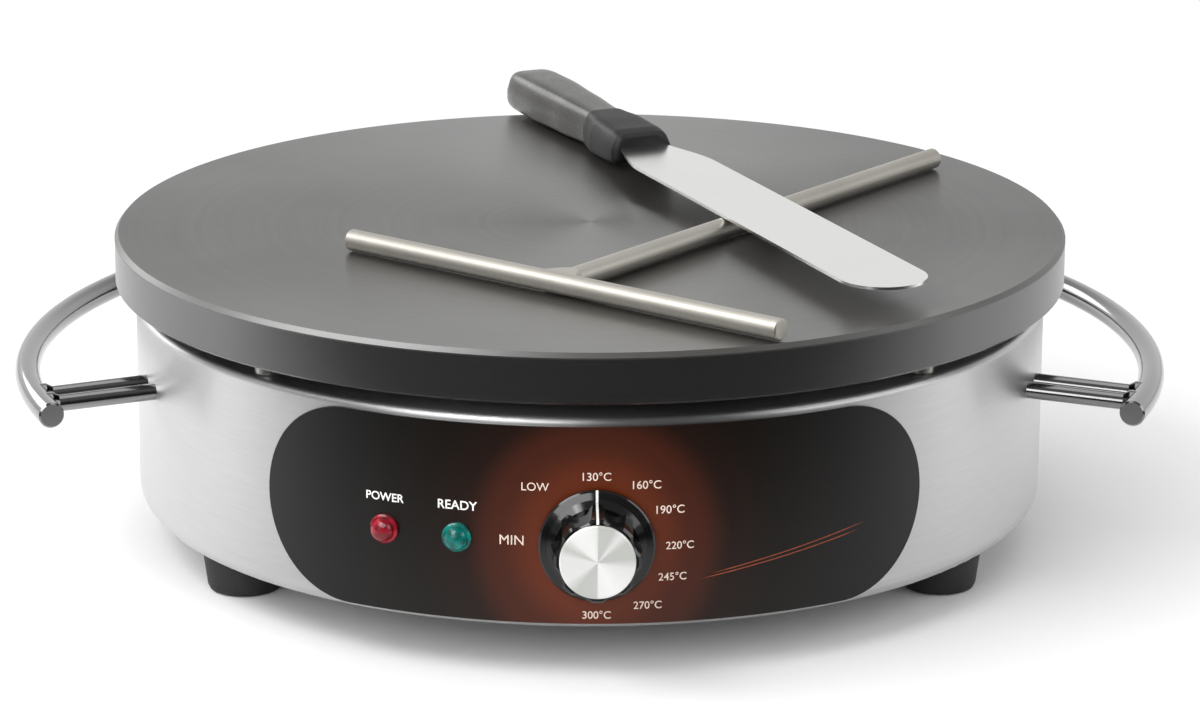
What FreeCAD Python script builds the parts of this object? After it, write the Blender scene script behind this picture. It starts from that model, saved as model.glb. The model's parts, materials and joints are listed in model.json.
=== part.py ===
import FreeCAD, Part
import math
import os
from FreeCAD import Vector

# Electric crepe maker with a round cast plate, a rake spreader and a spatula.
# Millimetres. The floor is z = 0, the plate's axis is the Z axis and the
# control panel faces -Y.

# Cooking plate
PLATE_TOP = 136.0
PLATE_R = 203.2
PLATE_RIM_H = 21.0
PLATE_WEB = 11.0
PLATE_WALL = 8.0
PLATE_EDGE_W = 1.6
PLATE_EDGE_H = 1.9
RIM_EDGE = 1.0
PLATE_WEB_Z = PLATE_TOP - PLATE_WEB
PLATE_RIM_Z = PLATE_TOP - PLATE_RIM_H
RIB_T = 4.0
RIB_Z = PLATE_WEB_Z - 5.0
RIB_COUNT = 12

# Heating elements
ELEMENT_R = 4.0
ELEMENT_Z = PLATE_WEB_Z - 3.0
ELEMENT_GROOVE_R = 4.2
OUTER_RING_R = 145.0
INNER_RING_R = 92.0
OUTER_RING_GAP = 7.0
INNER_RING_GAP = 10.0
ELEMENT_BEND_R = 9.0
ELEMENT_FOOT_Z = 78.0

# Clamp, reflector, blanket and shield, stacked on three studs
STUD_PITCH_R = 118.0
STUD_ANGLES = (90.0, 210.0, 330.0)
STUD_R = 3.0
STUD_BOSS_R = 8.0
CLAMP_TOP = ELEMENT_Z - ELEMENT_R
CLAMP_T = 2.5
REFLECTOR_Z = 104.0
REFLECTOR_R = 157.0
BLANKET_Z = 94.0
BLANKET_R = 150.0
SHIELD_Z = 93.2
SHIELD_R = 154.0
SHEET_T = 0.8
M6_NUT_AF = 10.0
M6_NUT_H = 5.0

# Body shell
SHELL_R = 194.8
SHELL_T = 1.2
SHELL_TOP = 107.5
SHELL_BOTTOM = 18.9
SHELL_TOP_EDGE = 3.0
SHELL_BOTTOM_EDGE = 8.0
SHOULDER_BANDS = 4
TOP_FLANGE_R = 174.0
BOTTOM_FLANGE_R = 148.0

# Posts between the shell and the plate
STANDOFF_PITCH_R = 185.5
STANDOFF_ANGLES = (45.0, 135.0, 225.0, 315.0)
STANDOFF_R = 6.0
STANDOFF_BOSS_R = 9.0

# Base plate and feet
BASE_R = 158.0
BASE_T = 1.2
BASE_SCREW_PITCH_R = 153.0
BASE_SCREW_ANGLES = (0.0, 60.0, 120.0, 180.0, 240.0, 300.0)
VENT_COUNT = 16
VENT_IN_R = 62.0
VENT_OUT_R = 104.0
VENT_W = 5.0
FOOT_PITCH_R = 168.0
FOOT_ANGLES = {"foot_front_left": 210.0, "foot_front_right": 330.0, "foot_rear": 90.0}
FOOT_TOP_R = 17.8
FOOT_BOTTOM_R = 15.6

# Carrying handles
HANDLE_Z = 77.3
HANDLE_ROD_R = 5.45
HANDLE_ARC_R = 241.5
HANDLE_SET_BACK = 7.2
HANDLE_HALF_ANGLE = 29.5
POST_R = 3.5
POST_START_Z = 80.3
POST_DRUM_ANGLES = (27.3, 23.3)
POST_PLAN_ANGLE = 19.2
POST_TAIL_R = 2.4
POST_TAIL_L = 12.0
POST_PAD_T = 3.0

# Control panel overlay
PANEL_T = 0.8
PANEL_ARC = 288.0
PANEL_H = 81.3
PANEL_Z = 63.2

# Thermostat and knob
KNOB_Z = 55.7
KNOB_SKIRT_R = 23.0
KNOB_GRIP_R = 18.3
KNOB_FRONT_R = 17.2
KNOB_DEPTH = 21.4
KNOB_BACK_Y = -196.1
KNOB_LOBES = 8
KNOB_CAP_R = 15.0
SHAFT_R = 3.0
BUSHING_R = 5.0

# Indicator lamps
LAMP_Z = 56.4
LAMP_ANGLES = {"power_lamp_lens": -25.4, "ready_lamp_lens": -16.35}
LAMP_RIM_R = 6.0
LAMP_BODY_R = 4.5

# Cable gland
GLAND_Z = 44.0
GLAND_BORE_R = 4.0
GLAND_THREAD_R = 8.0
GLAND_REACH = 218.3

# Rake spreader
SPREADER_R = 4.5
SPREADER_GAP = 0.3
SPREADER_BAR_L = 222.0
SPREADER_STEM_L = 271.0
SPREADER_X = -14.35
SPREADER_Y = -117.27
SPREADER_TURN = -38.8

# Spatula
SPATULA_TURN = -67.6
SPATULA_OFFSET = 58.3
BLADE_T = 1.2
BLADE_ROOT = -88.0
BLADE_WIDE = -38.0
BLADE_TIP = 180.5
BLADE_ROOT_W = 20.0
BLADE_W = 37.0
GRIP_SQUARENESS = 0.62
TANG_L = 60.0
TANG_W = 12.0
BOLSTER_START = -120.0


def polar(radius, angle, z=0.0):
    """Point at a radius and an angle in degrees from +X."""
    turn = math.radians(angle)
    return Vector(radius * math.cos(turn), radius * math.sin(turn), z)


def fuse(shapes):
    """One shape made of all the given shapes."""
    whole = shapes[0]
    for shape in shapes[1:]:
        whole = whole.fuse(shape)
    return whole.removeSplitter()


def cut_all(body, tools):
    """The body with every tool cut away."""
    for tool in tools:
        body = body.cut(tool)
    return body


def revolve(outline, axis_start=Vector(0, 0, 0)):
    """Solid of revolution about Z from a closed outline of (radius, z) pairs."""
    points = [Vector(r, 0, z) for r, z in outline]
    face = Part.Face(Part.makePolygon(points + points[:1]))
    return face.revolve(axis_start, Vector(0, 0, 1), 360)


def tube(outer, inner, height, base=Vector(0, 0, 0), direction=Vector(0, 0, 1)):
    """Straight round tube."""
    body = Part.makeCylinder(outer, height, base, direction)
    return body.cut(Part.makeCylinder(inner, height, base, direction))


def aim(shape, base, direction):
    """Turn a shape drawn along +Z to a direction and move it to a base point."""
    turned = shape.copy()
    turn = FreeCAD.Rotation(Vector(0, 0, 1), direction)
    turned.Placement = FreeCAD.Placement(base, turn)
    return turned


def turned_about_z(shape, angle):
    """Copy of a shape turned about the Z axis."""
    turned = shape.copy()
    turned.rotate(Vector(0, 0, 0), Vector(0, 0, 1), angle)
    return turned


def hex_nut(across_flats, height, bore):
    """Hexagon nut on the Z axis with its corners turned down."""
    corner = across_flats / math.sqrt(3)
    points = [polar(corner, 60 * step) for step in range(6)]
    body = Part.Face(Part.makePolygon(points + points[:1])).extrude(Vector(0, 0, height))
    flat = across_flats / 2
    rise = (corner - flat) * 0.6
    turned = revolve([(0, 0), (flat, 0), (corner, rise), (corner, height - rise), (flat, height), (0, height)])
    return body.common(turned).cut(Part.makeCylinder(bore, height))


def pan_screw(head_r, head_h, shank_r, shank_l, slot_w=1.2):
    """Cross-slotted pan screw: the head hangs below z = 0, the shank stands up."""
    head = Part.makeCylinder(head_r, head_h, Vector(0, 0, -head_h))
    head = head.makeFillet(head_h * 0.45, [edge for edge in head.Edges if abs(edge.BoundBox.ZMax + head_h) < 0.01])
    slot = Part.makeBox(head_r * 1.2, slot_w, head_h * 0.5, Vector(-head_r * 0.6, -slot_w / 2, -head_h))
    head = cut_all(head, [slot, turned_about_z(slot, 90)])
    return fuse([head, Part.makeCylinder(shank_r, shank_l)])


def edges_at(shape, z, tolerance=0.01):
    """Edges that lie flat at a height."""
    return [edge for edge in shape.Edges
            if abs(edge.BoundBox.ZMin - z) < tolerance and abs(edge.BoundBox.ZMax - z) < tolerance]


def export(name, *solids):
    """Write one node as a STEP file."""
    loose = []
    for shape in solids:
        loose.extend(shape.Solids)
    shape = loose[0] if len(loose) == 1 else Part.makeCompound(loose)
    shape.exportStep("parts/" + name + ".step")


def groove_ring(radius):
    """Round-bottomed ring that seats a heating element in the plate's underside."""
    return Part.makeTorus(radius, ELEMENT_GROOVE_R, Vector(0, 0, ELEMENT_Z))


def plate_ribs():
    """Radial ribs and rings cast under the plate."""
    ribs = []
    for inner, outer in ((30.0, 82.0), (156.0, 196.0)):
        for step in range(RIB_COUNT):
            rib = Part.makeBox(outer - inner, RIB_T, PLATE_WEB_Z - RIB_Z + 1,
                               Vector(inner, -RIB_T / 2, RIB_Z))
            ribs.append(turned_about_z(rib, 15 + step * 360 / RIB_COUNT))
    for radius in (30.0, 82.0, 156.0):
        ribs.append(tube(radius + RIB_T / 2, radius - RIB_T / 2, PLATE_WEB_Z - RIB_Z + 1, Vector(0, 0, RIB_Z)))
    return ribs


def cooking_plate():
    """Cast plate: chamfered flat top, deep rim, and ribs, bosses and grooves underneath."""
    inner = PLATE_R - PLATE_WALL
    plate = revolve([
        (0, PLATE_WEB_Z), (inner - 4, PLATE_WEB_Z), (inner - 1, PLATE_WEB_Z - 3),
        (inner, PLATE_RIM_Z), (PLATE_R - RIM_EDGE, PLATE_RIM_Z), (PLATE_R, PLATE_RIM_Z + RIM_EDGE),
        (PLATE_R, PLATE_TOP - PLATE_EDGE_H), (PLATE_R - PLATE_EDGE_W, PLATE_TOP), (0, PLATE_TOP)])
    bosses = [Part.makeCylinder(STANDOFF_BOSS_R, PLATE_RIM_H - 2, polar(STANDOFF_PITCH_R, angle, PLATE_RIM_Z))
              for angle in STANDOFF_ANGLES]
    bosses += [Part.makeCylinder(STUD_BOSS_R, PLATE_WEB + 2, polar(STUD_PITCH_R, angle, PLATE_WEB_Z - 5))
               for angle in STUD_ANGLES]
    plate = fuse([plate] + plate_ribs() + bosses)
    holes = [Part.makeCylinder(2.5, 15, polar(STANDOFF_PITCH_R, angle, PLATE_RIM_Z)) for angle in STANDOFF_ANGLES]
    holes += [Part.makeCylinder(STUD_R, 10, polar(STUD_PITCH_R, angle, PLATE_WEB_Z - 5)) for angle in STUD_ANGLES]
    return cut_all(plate, [groove_ring(OUTER_RING_R), groove_ring(INNER_RING_R)] + holes)


def element(radius, half_gap):
    """Tubular ring element whose ends turn down side by side at the back."""
    first = 90 + half_gap
    last = 90 - half_gap + 360
    start = polar(radius, first, ELEMENT_Z)
    end = polar(radius, last, ELEMENT_Z)
    along_start = polar(1, first - 90)
    along_end = polar(1, last + 90)
    down = Vector(0, 0, -1)
    edges = []
    for point, away in ((start, along_start), (end, along_end)):
        corner = point + away * ELEMENT_BEND_R + down * ELEMENT_BEND_R
        middle = point + away * (ELEMENT_BEND_R * math.sin(math.pi / 4))
        middle += down * (ELEMENT_BEND_R * (1 - math.cos(math.pi / 4)))
        foot = Vector(corner.x, corner.y, ELEMENT_FOOT_Z)
        edges.append([Part.makeLine(foot, corner), Part.Arc(corner, middle, point).toShape()])
    ring = Part.Arc(start, polar(radius, (first + last) / 2, ELEMENT_Z), end).toShape()
    path = Part.Wire(edges[0] + [ring] + edges[1][::-1])
    foot = edges[0][0].Vertexes[0].Point
    profile = Part.Wire(Part.makeCircle(ELEMENT_R, foot, Vector(0, 0, 1)))
    return path.makePipeShell([profile], True, False)


def element_feet(radius, half_gap):
    """Plan positions of the two ends of a ring element."""
    feet = []
    for angle, side in ((90 + half_gap, -90), (90 - half_gap, 90)):
        feet.append(polar(radius, angle) + polar(ELEMENT_BEND_R, angle + side))
    return feet


def all_element_feet():
    """Plan positions of the four element ends."""
    return element_feet(OUTER_RING_R, OUTER_RING_GAP) + element_feet(INNER_RING_R, INNER_RING_GAP)


def element_terminals():
    """Connecting pin with a flat tab under each element end."""
    terminals = []
    for foot in all_element_feet():
        pin = Part.makeCylinder(1.6, 5, Vector(foot.x, foot.y, ELEMENT_FOOT_Z - 5))
        tab = Part.makeBox(6.3, 0.8, 9, Vector(foot.x - 3.15, foot.y - 0.4, ELEMENT_FOOT_Z - 14))
        terminals.append(fuse([pin, tab]))
    return terminals


def element_clamp():
    """Three-armed strap that presses both elements into their grooves."""
    z = CLAMP_TOP - CLAMP_T
    arms = [tube(34.0, 22.0, CLAMP_T, Vector(0, 0, z))]
    for angle in STUD_ANGLES:
        arm = Part.makeBox(154.0 - 28.0, 18.0, CLAMP_T, Vector(28.0, -9.0, z))
        arms.append(turned_about_z(arm, angle))
    clamp = fuse(arms)
    holes = [Part.makeCylinder(STUD_R + 0.3, CLAMP_T, polar(STUD_PITCH_R, angle, z)) for angle in STUD_ANGLES]
    slots = [Part.makeCylinder(ELEMENT_R + 2, 20, foot + Vector(0, 0, z - 5)) for foot in all_element_feet()]
    return cut_all(clamp, holes + slots)


def stacked_on_studs(make):
    """One copy of a piece on each of the three studs."""
    return [aim(make, polar(STUD_PITCH_R, angle), Vector(0, 0, 1)) for angle in STUD_ANGLES]


def clamp_studs():
    """Threaded studs that hang from the plate and carry the whole stack."""
    top = PLATE_WEB_Z + 4
    foot = SHIELD_Z - M6_NUT_H - 3
    stud = revolve([(0, foot), (STUD_R - 0.8, foot), (STUD_R, foot + 0.8), (STUD_R, top), (0, top)])
    return stacked_on_studs(stud)


def stud_nuts(z):
    """Nuts on the three studs with their lower face at a height."""
    nut = hex_nut(M6_NUT_AF, M6_NUT_H, STUD_R)
    return [aim(nut, polar(STUD_PITCH_R, angle, z), Vector(0, 0, 1)) for angle in STUD_ANGLES]


def stud_spacers():
    """Sleeves that hold the reflector below the clamp nuts."""
    low = REFLECTOR_Z + SHEET_T
    high = CLAMP_TOP - CLAMP_T - M6_NUT_H
    return stacked_on_studs(tube(4.5, STUD_R + 0.2, high - low, Vector(0, 0, low)))


def sheet_holes(z, depth):
    """Holes for the studs and element ends through the reflector, blanket and shield."""
    base = Vector(0, 0, z)
    holes = [Part.makeCylinder(STUD_R + 0.4, depth, polar(STUD_PITCH_R, angle) + base) for angle in STUD_ANGLES]
    holes += [Part.makeCylinder(ELEMENT_R + 2, depth, foot + base) for foot in all_element_feet()]
    return holes


def dish(radius, z, rim_h):
    """Flat sheet dish with an upturned rim and one stiffening ring."""
    body = revolve([
        (0, z), (60, z), (62, z + 2), (72, z + 2), (74, z), (radius - 3, z), (radius, z + 3), (radius, z + rim_h),
        (radius - SHEET_T, z + rim_h), (radius - SHEET_T, z + 3.4), (radius - 3.4, z + SHEET_T),
        (74.4, z + SHEET_T), (72.4, z + 2 + SHEET_T), (61.6, z + 2 + SHEET_T), (59.6, z + SHEET_T),
        (0, z + SHEET_T)])
    return cut_all(body, sheet_holes(z - 1, rim_h))


def blanket():
    """Heat-proof fibre pad between the reflector and the shield."""
    low = BLANKET_Z
    high = REFLECTOR_Z
    pad = revolve([(0, low), (58, low), (61, low + 2.4), (73, low + 2.4), (76, low), (BLANKET_R - 2, low),
                   (BLANKET_R, low + 2), (BLANKET_R, high - 1), (BLANKET_R - 1, high), (0, high)])
    return cut_all(pad, sheet_holes(low - 1, high - low + 2))


def shoulder(centre, radius, first, last):
    """Rounded corner of a section as short arcs, so that each one turns into a band of its own."""
    step = (last - first) / SHOULDER_BANDS
    arcs = []
    for band in range(SHOULDER_BANDS):
        turns = [math.radians(first + step * (band + share)) for share in (0, 0.5, 1)]
        points = [centre + Vector(math.cos(turn), 0, math.sin(turn)) * radius for turn in turns]
        arcs.append(Part.Arc(*points).toShape())
    return arcs


def shell_profile(outer, bottom, top, bottom_edge, top_edge):
    """Closed drum solid with rounded shoulders."""
    low = shoulder(Vector(outer - bottom_edge, 0, bottom + bottom_edge), bottom_edge, -90, 0)
    high = shoulder(Vector(outer - top_edge, 0, top - top_edge), top_edge, 0, 90)
    corners = [Vector(outer - top_edge, 0, top), Vector(0, 0, top), Vector(0, 0, bottom),
               Vector(outer - bottom_edge, 0, bottom)]
    wall = Part.makeLine(Vector(outer, 0, bottom + bottom_edge), Vector(outer, 0, top - top_edge))
    section = Part.Face(Part.Wire(low + [wall] + high + Part.makePolygon(corners).Edges))
    return section.revolve(Vector(0, 0, 0), Vector(0, 0, 1), 360)


def shell_direction(angle):
    """Outward direction on the shell at an angle from the front, towards +X."""
    turn = math.radians(angle)
    return Vector(math.sin(turn), -math.cos(turn), 0)


def on_shell(shape, angle, z, radius):
    """Stand a shape drawn along +Z on the shell, pointing outwards."""
    direction = shell_direction(angle)
    return aim(shape, direction * radius + Vector(0, 0, z), direction)


def panel_holes():
    """Holes through the shell and the panel for the bushing and both lamps."""
    reach = 12.0
    holes = [on_shell(Part.makeCylinder(BUSHING_R + 0.3, reach), 0, KNOB_Z, SHELL_R - reach / 2)]
    for angle in LAMP_ANGLES.values():
        holes.append(on_shell(Part.makeCylinder(LAMP_BODY_R + 0.2, reach), angle, LAMP_Z, SHELL_R - reach / 2))
    return holes


def body_shell():
    """Drawn sheet drum with a turned-in flange at the top and the bottom."""
    outside = shell_profile(SHELL_R, SHELL_BOTTOM, SHELL_TOP, SHELL_BOTTOM_EDGE, SHELL_TOP_EDGE)
    inside = shell_profile(SHELL_R - SHELL_T, SHELL_BOTTOM + SHELL_T, SHELL_TOP - SHELL_T,
                           SHELL_BOTTOM_EDGE - SHELL_T, SHELL_TOP_EDGE - SHELL_T)
    tools = [inside, Part.makeCylinder(TOP_FLANGE_R, 10, Vector(0, 0, SHELL_TOP - 5)),
             Part.makeCylinder(BOTTOM_FLANGE_R, 10, Vector(0, 0, SHELL_BOTTOM - 5))]
    tools += panel_holes()
    tools += [Part.makeCylinder(2.7, 10, polar(STANDOFF_PITCH_R, angle, SHELL_TOP - 5)) for angle in STANDOFF_ANGLES]
    tools += [Part.makeCylinder(2.7, 10, polar(FOOT_PITCH_R, angle, SHELL_BOTTOM - 5))
              for angle in FOOT_ANGLES.values()]
    tools += [Part.makeCylinder(2.1, 10, polar(BASE_SCREW_PITCH_R, angle, SHELL_BOTTOM - 5))
              for angle in BASE_SCREW_ANGLES]
    tools.append(Part.makeCylinder(GLAND_THREAD_R + 0.2, 10, Vector(0, SHELL_R - 5, GLAND_Z), Vector(0, 1, 0)))
    for line in post_lines():
        tools.append(Part.makeCylinder(POST_TAIL_R + 0.3, 16, line.start - line.direction * 8, line.direction))
    return cut_all(outside, tools)


def base_plate():
    """Bottom cover with a ring of vent slots, a raised bead and screw holes."""
    z = SHELL_BOTTOM + SHELL_T
    plate = revolve([
        (0, z), (116, z), (118, z + 2), (126, z + 2), (128, z), (BASE_R, z), (BASE_R, z + BASE_T),
        (127.6, z + BASE_T), (125.6, z + 2 + BASE_T), (118.4, z + 2 + BASE_T), (116.4, z + BASE_T), (0, z + BASE_T)])
    tools = []
    for step in range(VENT_COUNT):
        slot = Part.makeBox(VENT_OUT_R - VENT_IN_R, VENT_W, 6, Vector(VENT_IN_R, -VENT_W / 2, z - 2))
        ends = [Part.makeCylinder(VENT_W / 2, 6, Vector(r, 0, z - 2)) for r in (VENT_IN_R, VENT_OUT_R)]
        tools.append(turned_about_z(fuse([slot] + ends), (step + 0.5) * 360 / VENT_COUNT))
    tools += [Part.makeCylinder(1.9, 6, polar(BASE_SCREW_PITCH_R, angle, z - 2)) for angle in BASE_SCREW_ANGLES]
    tools += [Part.makeCylinder(12, 6, polar(FOOT_PITCH_R, angle, z - 2)) for angle in FOOT_ANGLES.values()]
    tools.append(Part.makeCylinder(2.6, 6, Vector(46, 128, z - 2)))
    return cut_all(plate, tools)


def standoffs():
    """Round spacers between the shell's flange and the plate."""
    height = PLATE_RIM_Z - SHELL_TOP
    post = tube(STANDOFF_R, 2.7, height)
    post = post.makeChamfer(0.6, [edge for edge in post.Edges if edge.BoundBox.XMax > STANDOFF_R - 0.1
                                  and edge.BoundBox.ZLength < 0.01])
    return [aim(post, polar(STANDOFF_PITCH_R, angle, SHELL_TOP), Vector(0, 0, 1)) for angle in STANDOFF_ANGLES]


def plate_screws():
    """Screws from under the flange up into the plate."""
    screw = pan_screw(4.6, 3.2, 2.45, 20)
    return [aim(screw, polar(STANDOFF_PITCH_R, angle, SHELL_TOP - SHELL_T), Vector(0, 0, 1))
            for angle in STANDOFF_ANGLES]


def foot(angle):
    """Tapered rubber foot with a rounded tread, a deep screw pocket and a steel-screw bore."""
    top = SHELL_BOTTOM
    body = revolve([
        (2.8, 9), (7.2, 9), (7.2, 0), (FOOT_BOTTOM_R - 2.6, 0), (FOOT_BOTTOM_R - 0.8, 0.7), (FOOT_BOTTOM_R, 2.4),
        (FOOT_TOP_R - 0.3, top - 2.2), (FOOT_TOP_R, top - 1.4), (FOOT_TOP_R, top - 0.6),
        (FOOT_TOP_R - 0.6, top), (2.8, top)])
    groove = tube(10.4, 9.2, 1.2)
    return aim(body.cut(groove), polar(FOOT_PITCH_R, angle), Vector(0, 0, 1))


def at_feet(make, z):
    """One copy of a piece at each foot."""
    return [aim(make, polar(FOOT_PITCH_R, angle, z), Vector(0, 0, 1)) for angle in FOOT_ANGLES.values()]


def handle_point(side, angle, radius, z):
    """Point at a radius and an angle behind the X axis, on the right (1) or the left (-1)."""
    point = polar(radius, angle, z)
    return Vector(side * point.x, point.y, z)


class PostLine:
    """Centre line of one handle post, from the drum to the bar."""

    def __init__(self, side, end, drum_angle):
        self.start = handle_point(side, HANDLE_SET_BACK + end * drum_angle, SHELL_R, POST_START_Z)
        flat = handle_point(side, HANDLE_SET_BACK + end * POST_PLAN_ANGLE, 1, 0)
        out = Vector(self.start.x, self.start.y, 0)
        along = out.dot(flat)
        reach = -along + math.sqrt(along ** 2 - out.dot(out) + HANDLE_ARC_R ** 2)
        self.end = self.start + flat * reach
        self.end.z = HANDLE_Z
        self.length = self.start.distanceToPoint(self.end)
        self.direction = (self.end - self.start) / self.length


def post_lines():
    """All eight post lines."""
    return [PostLine(side, end, angle) for side in (-1, 1) for end in (-1, 1) for angle in POST_DRUM_ANGLES]


def handle_bar(side):
    """Arc of round rod that follows the drum at a distance, with broken end edges."""
    start, middle, end = [handle_point(side, HANDLE_SET_BACK + turn * HANDLE_HALF_ANGLE, HANDLE_ARC_R, HANDLE_Z)
                          for turn in (-1, 0, 1)]
    arc = Part.Arc(start, middle, end).toShape()
    across = arc.tangentAt(arc.FirstParameter)
    profile = Part.Wire(Part.makeCircle(HANDLE_ROD_R, start, across))
    bar = Part.Wire([arc]).makePipeShell([profile], True, False)
    ends = [edge for edge in bar.Edges if edge.Length < 2.5 * math.pi * HANDLE_ROD_R and edge.isClosed()]
    return bar.makeChamfer(0.7, ends)


def handle_posts(side, bar):
    """Four straight rods of one handle, each with a thinner tail through the shell."""
    posts = []
    drum = Part.makeCylinder(SHELL_R, 60, Vector(0, 0, 50))
    for line in post_lines():
        if line.start.x * side < 0:
            continue
        rod = Part.makeCylinder(POST_R, line.length + 4, line.start - line.direction * 4, line.direction)
        bead = Part.makeCone(POST_R, POST_R + 1.6, 2.6, line.end - line.direction * 7.4, line.direction)
        bead = bead.fuse(Part.makeCylinder(POST_R + 1.6, 4.8, line.end - line.direction * 4.8, line.direction))
        rod = fuse([rod, bead]).cut(drum).cut(bar)
        rod = max(rod.Solids, key=lambda solid: solid.Volume)
        tail = Part.makeCylinder(POST_TAIL_R, POST_TAIL_L + 6, line.start - line.direction * POST_TAIL_L,
                                 line.direction)
        posts.append(fuse([rod, tail]))
    return posts


def post_pads():
    """Backing pad inside the shell behind each pair of posts, flat where the nuts sit."""
    pads = []
    inner = SHELL_R - SHELL_T - 0.05
    lines = post_lines()
    for first, second in zip(lines[0::2], lines[1::2]):
        middle = (first.start + second.start) / 2
        direction = (first.direction + second.direction) / 2
        block = Part.makeBox(30, 14, 12, Vector(-15, -7, -6))
        turn = FreeCAD.Rotation(Vector(0, 0, 1), direction)
        across = turn.multVec(Vector(1, 0, 0))
        if abs(across.z) > 0.5:
            turn = turn.multiply(FreeCAD.Rotation(Vector(0, 0, 1), 90))
        block.Placement = FreeCAD.Placement(middle - direction * (POST_PAD_T + 2), turn)
        pad = block.common(Part.makeCylinder(inner, 60, Vector(0, 0, 50)))
        bores = [Part.makeCylinder(POST_TAIL_R + 0.3, 40, line.start - line.direction * 20, line.direction)
                 for line in (first, second)]
        pads.append(cut_all(pad, bores))
    return pads


def post_nuts():
    """Nut on each post tail, against the pad's flat face."""
    nuts = []
    nut = hex_nut(8.0, 4.0, POST_TAIL_R)
    lines = post_lines()
    for first, second in zip(lines[0::2], lines[1::2]):
        middle = (first.start + second.start) / 2
        direction = (first.direction + second.direction) / 2
        seat = middle - direction * (POST_PAD_T + 8)
        for line in (first, second):
            back = (line.start - seat).dot(direction)
            nuts.append(aim(nut, line.start - line.direction * (back + 4.15), line.direction))
    return nuts


def panel_point(arc, rise):
    """Point of the panel's outline, from an arc length and a height, seen from the front."""
    return Vector(SHELL_R * math.sin(arc / SHELL_R), 0, PANEL_Z + rise)


def control_panel():
    """Stadium-shaped overlay wrapped on the drum, with holes for the knob and both lamps."""
    half_h = PANEL_H / 2
    straight = PANEL_ARC / 2 - half_h
    edges = []
    for side in (1, -1):
        turns = [math.radians(90 - step * 15) for step in range(13)]
        points = [panel_point(side * (straight + half_h * math.cos(turn)), side * half_h * math.sin(turn))
                  for turn in turns]
        curve = Part.BSplineCurve()
        curve.interpolate(points)
        edges.append(curve.toShape())
    ends = [(edge.Vertexes[0].Point, edge.Vertexes[-1].Point) for edge in edges]
    edges.insert(1, Part.makeLine(ends[0][1], ends[1][0]))
    edges.append(Part.makeLine(ends[1][1], ends[0][0]))
    outline = Part.Face(Part.Wire(edges)).extrude(Vector(0, -SHELL_R - 10, 0))
    skin = tube(SHELL_R + PANEL_T, SHELL_R + 0.02, 100, Vector(0, 0, 15))
    return cut_all(skin.common(outline), panel_holes())


def knob_shape():
    """Fluted knob on a dished skirt, drawn along +Z with its back at z = 0."""
    skirt = revolve([(0, 0), (KNOB_SKIRT_R - 0.5, 0), (KNOB_SKIRT_R, 0.5), (KNOB_SKIRT_R, 1.8),
                     (KNOB_SKIRT_R - 0.6, 2.4), (KNOB_GRIP_R + 1.4, 3.6), (KNOB_GRIP_R - 1.5, 5.4), (0, 5.4)])
    grip = revolve([(0, 3), (KNOB_GRIP_R, 3), (KNOB_FRONT_R, KNOB_DEPTH - 1.1), (KNOB_FRONT_R - 1.1, KNOB_DEPTH),
                    (0, KNOB_DEPTH)])
    flute_r = 9.0
    for step in range(KNOB_LOBES):
        centre = polar(KNOB_FRONT_R + flute_r - 1.5, (step + 0.5) * 360 / KNOB_LOBES, 4.4)
        grip = grip.cut(Part.makeCylinder(flute_r, KNOB_DEPTH, centre))
        grip = grip.cut(Part.makeCone(flute_r, flute_r + 1.1, 1.1, centre + Vector(0, 0, KNOB_DEPTH - 5.5)))
    knob = fuse([skirt, grip])
    nut_room = Part.makeCylinder(10.5, 6.5)
    cavity = tube(12.5, 6.0, KNOB_DEPTH - 7, Vector(0, 0, 3))
    recess = Part.makeCylinder(KNOB_CAP_R + 0.1, 2, Vector(0, 0, KNOB_DEPTH - 0.9))
    knob = cut_all(knob, [nut_room, cavity, recess])
    bore = Part.makeCylinder(SHAFT_R + 0.01, KNOB_DEPTH - 4)
    flat = Part.makeBox(8, 3, KNOB_DEPTH, Vector(-4, SHAFT_R - 1.0, 8))
    return knob.cut(bore.cut(flat))


def facing_front(shape, y):
    """Turn a shape drawn along +Z to face the front, on the knob's axis."""
    return aim(shape, Vector(0, y, KNOB_Z), Vector(0, -1, 0))


def knob_cap():
    """Spun metal disc in the knob's front."""
    start = KNOB_DEPTH - 0.9
    disc = revolve([(0, start), (KNOB_CAP_R, start), (KNOB_CAP_R, start + 1.2), (KNOB_CAP_R - 0.5, start + 1.7),
                    (0, start + 1.7)])
    return facing_front(disc, KNOB_BACK_Y)


def thermostat_shaft():
    """Shaft with a flat, from inside the thermostat to the knob's hub."""
    length = 44.0
    shaft = Part.makeCylinder(SHAFT_R, length)
    flat = Part.makeBox(8, 3, 10.0, Vector(-4, SHAFT_R - 0.99, length - 9.6))
    shaft = facing_front(shaft.cut(flat), KNOB_BACK_Y - KNOB_DEPTH + 4.2 + length)
    return shaft


def thermostat_body():
    """Control block with a bushing for the shaft, terminal tabs and a capillary boss."""
    block = Part.makeBox(36, 26, 38, Vector(-18, -176, KNOB_Z - 19))
    block = block.makeFillet(3, [edge for edge in block.Edges if edge.BoundBox.YLength > 25])
    bushing = Part.makeCylinder(BUSHING_R, 24, Vector(0, -175, KNOB_Z), Vector(0, -1, 0))
    boss = Part.makeCylinder(4, 5, Vector(10, -163, KNOB_Z + 18))
    tabs = [Part.makeBox(6.3, 9, 0.8, Vector(x, -151, KNOB_Z + rise)) for x in (-14, 7.7) for rise in (-10, 6)]
    body = fuse([block, bushing, boss] + tabs)
    bore = Part.makeCylinder(SHAFT_R + 0.05, 60, Vector(0, -166.2, KNOB_Z), Vector(0, -1, 0))
    return body.cut(bore)


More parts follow.
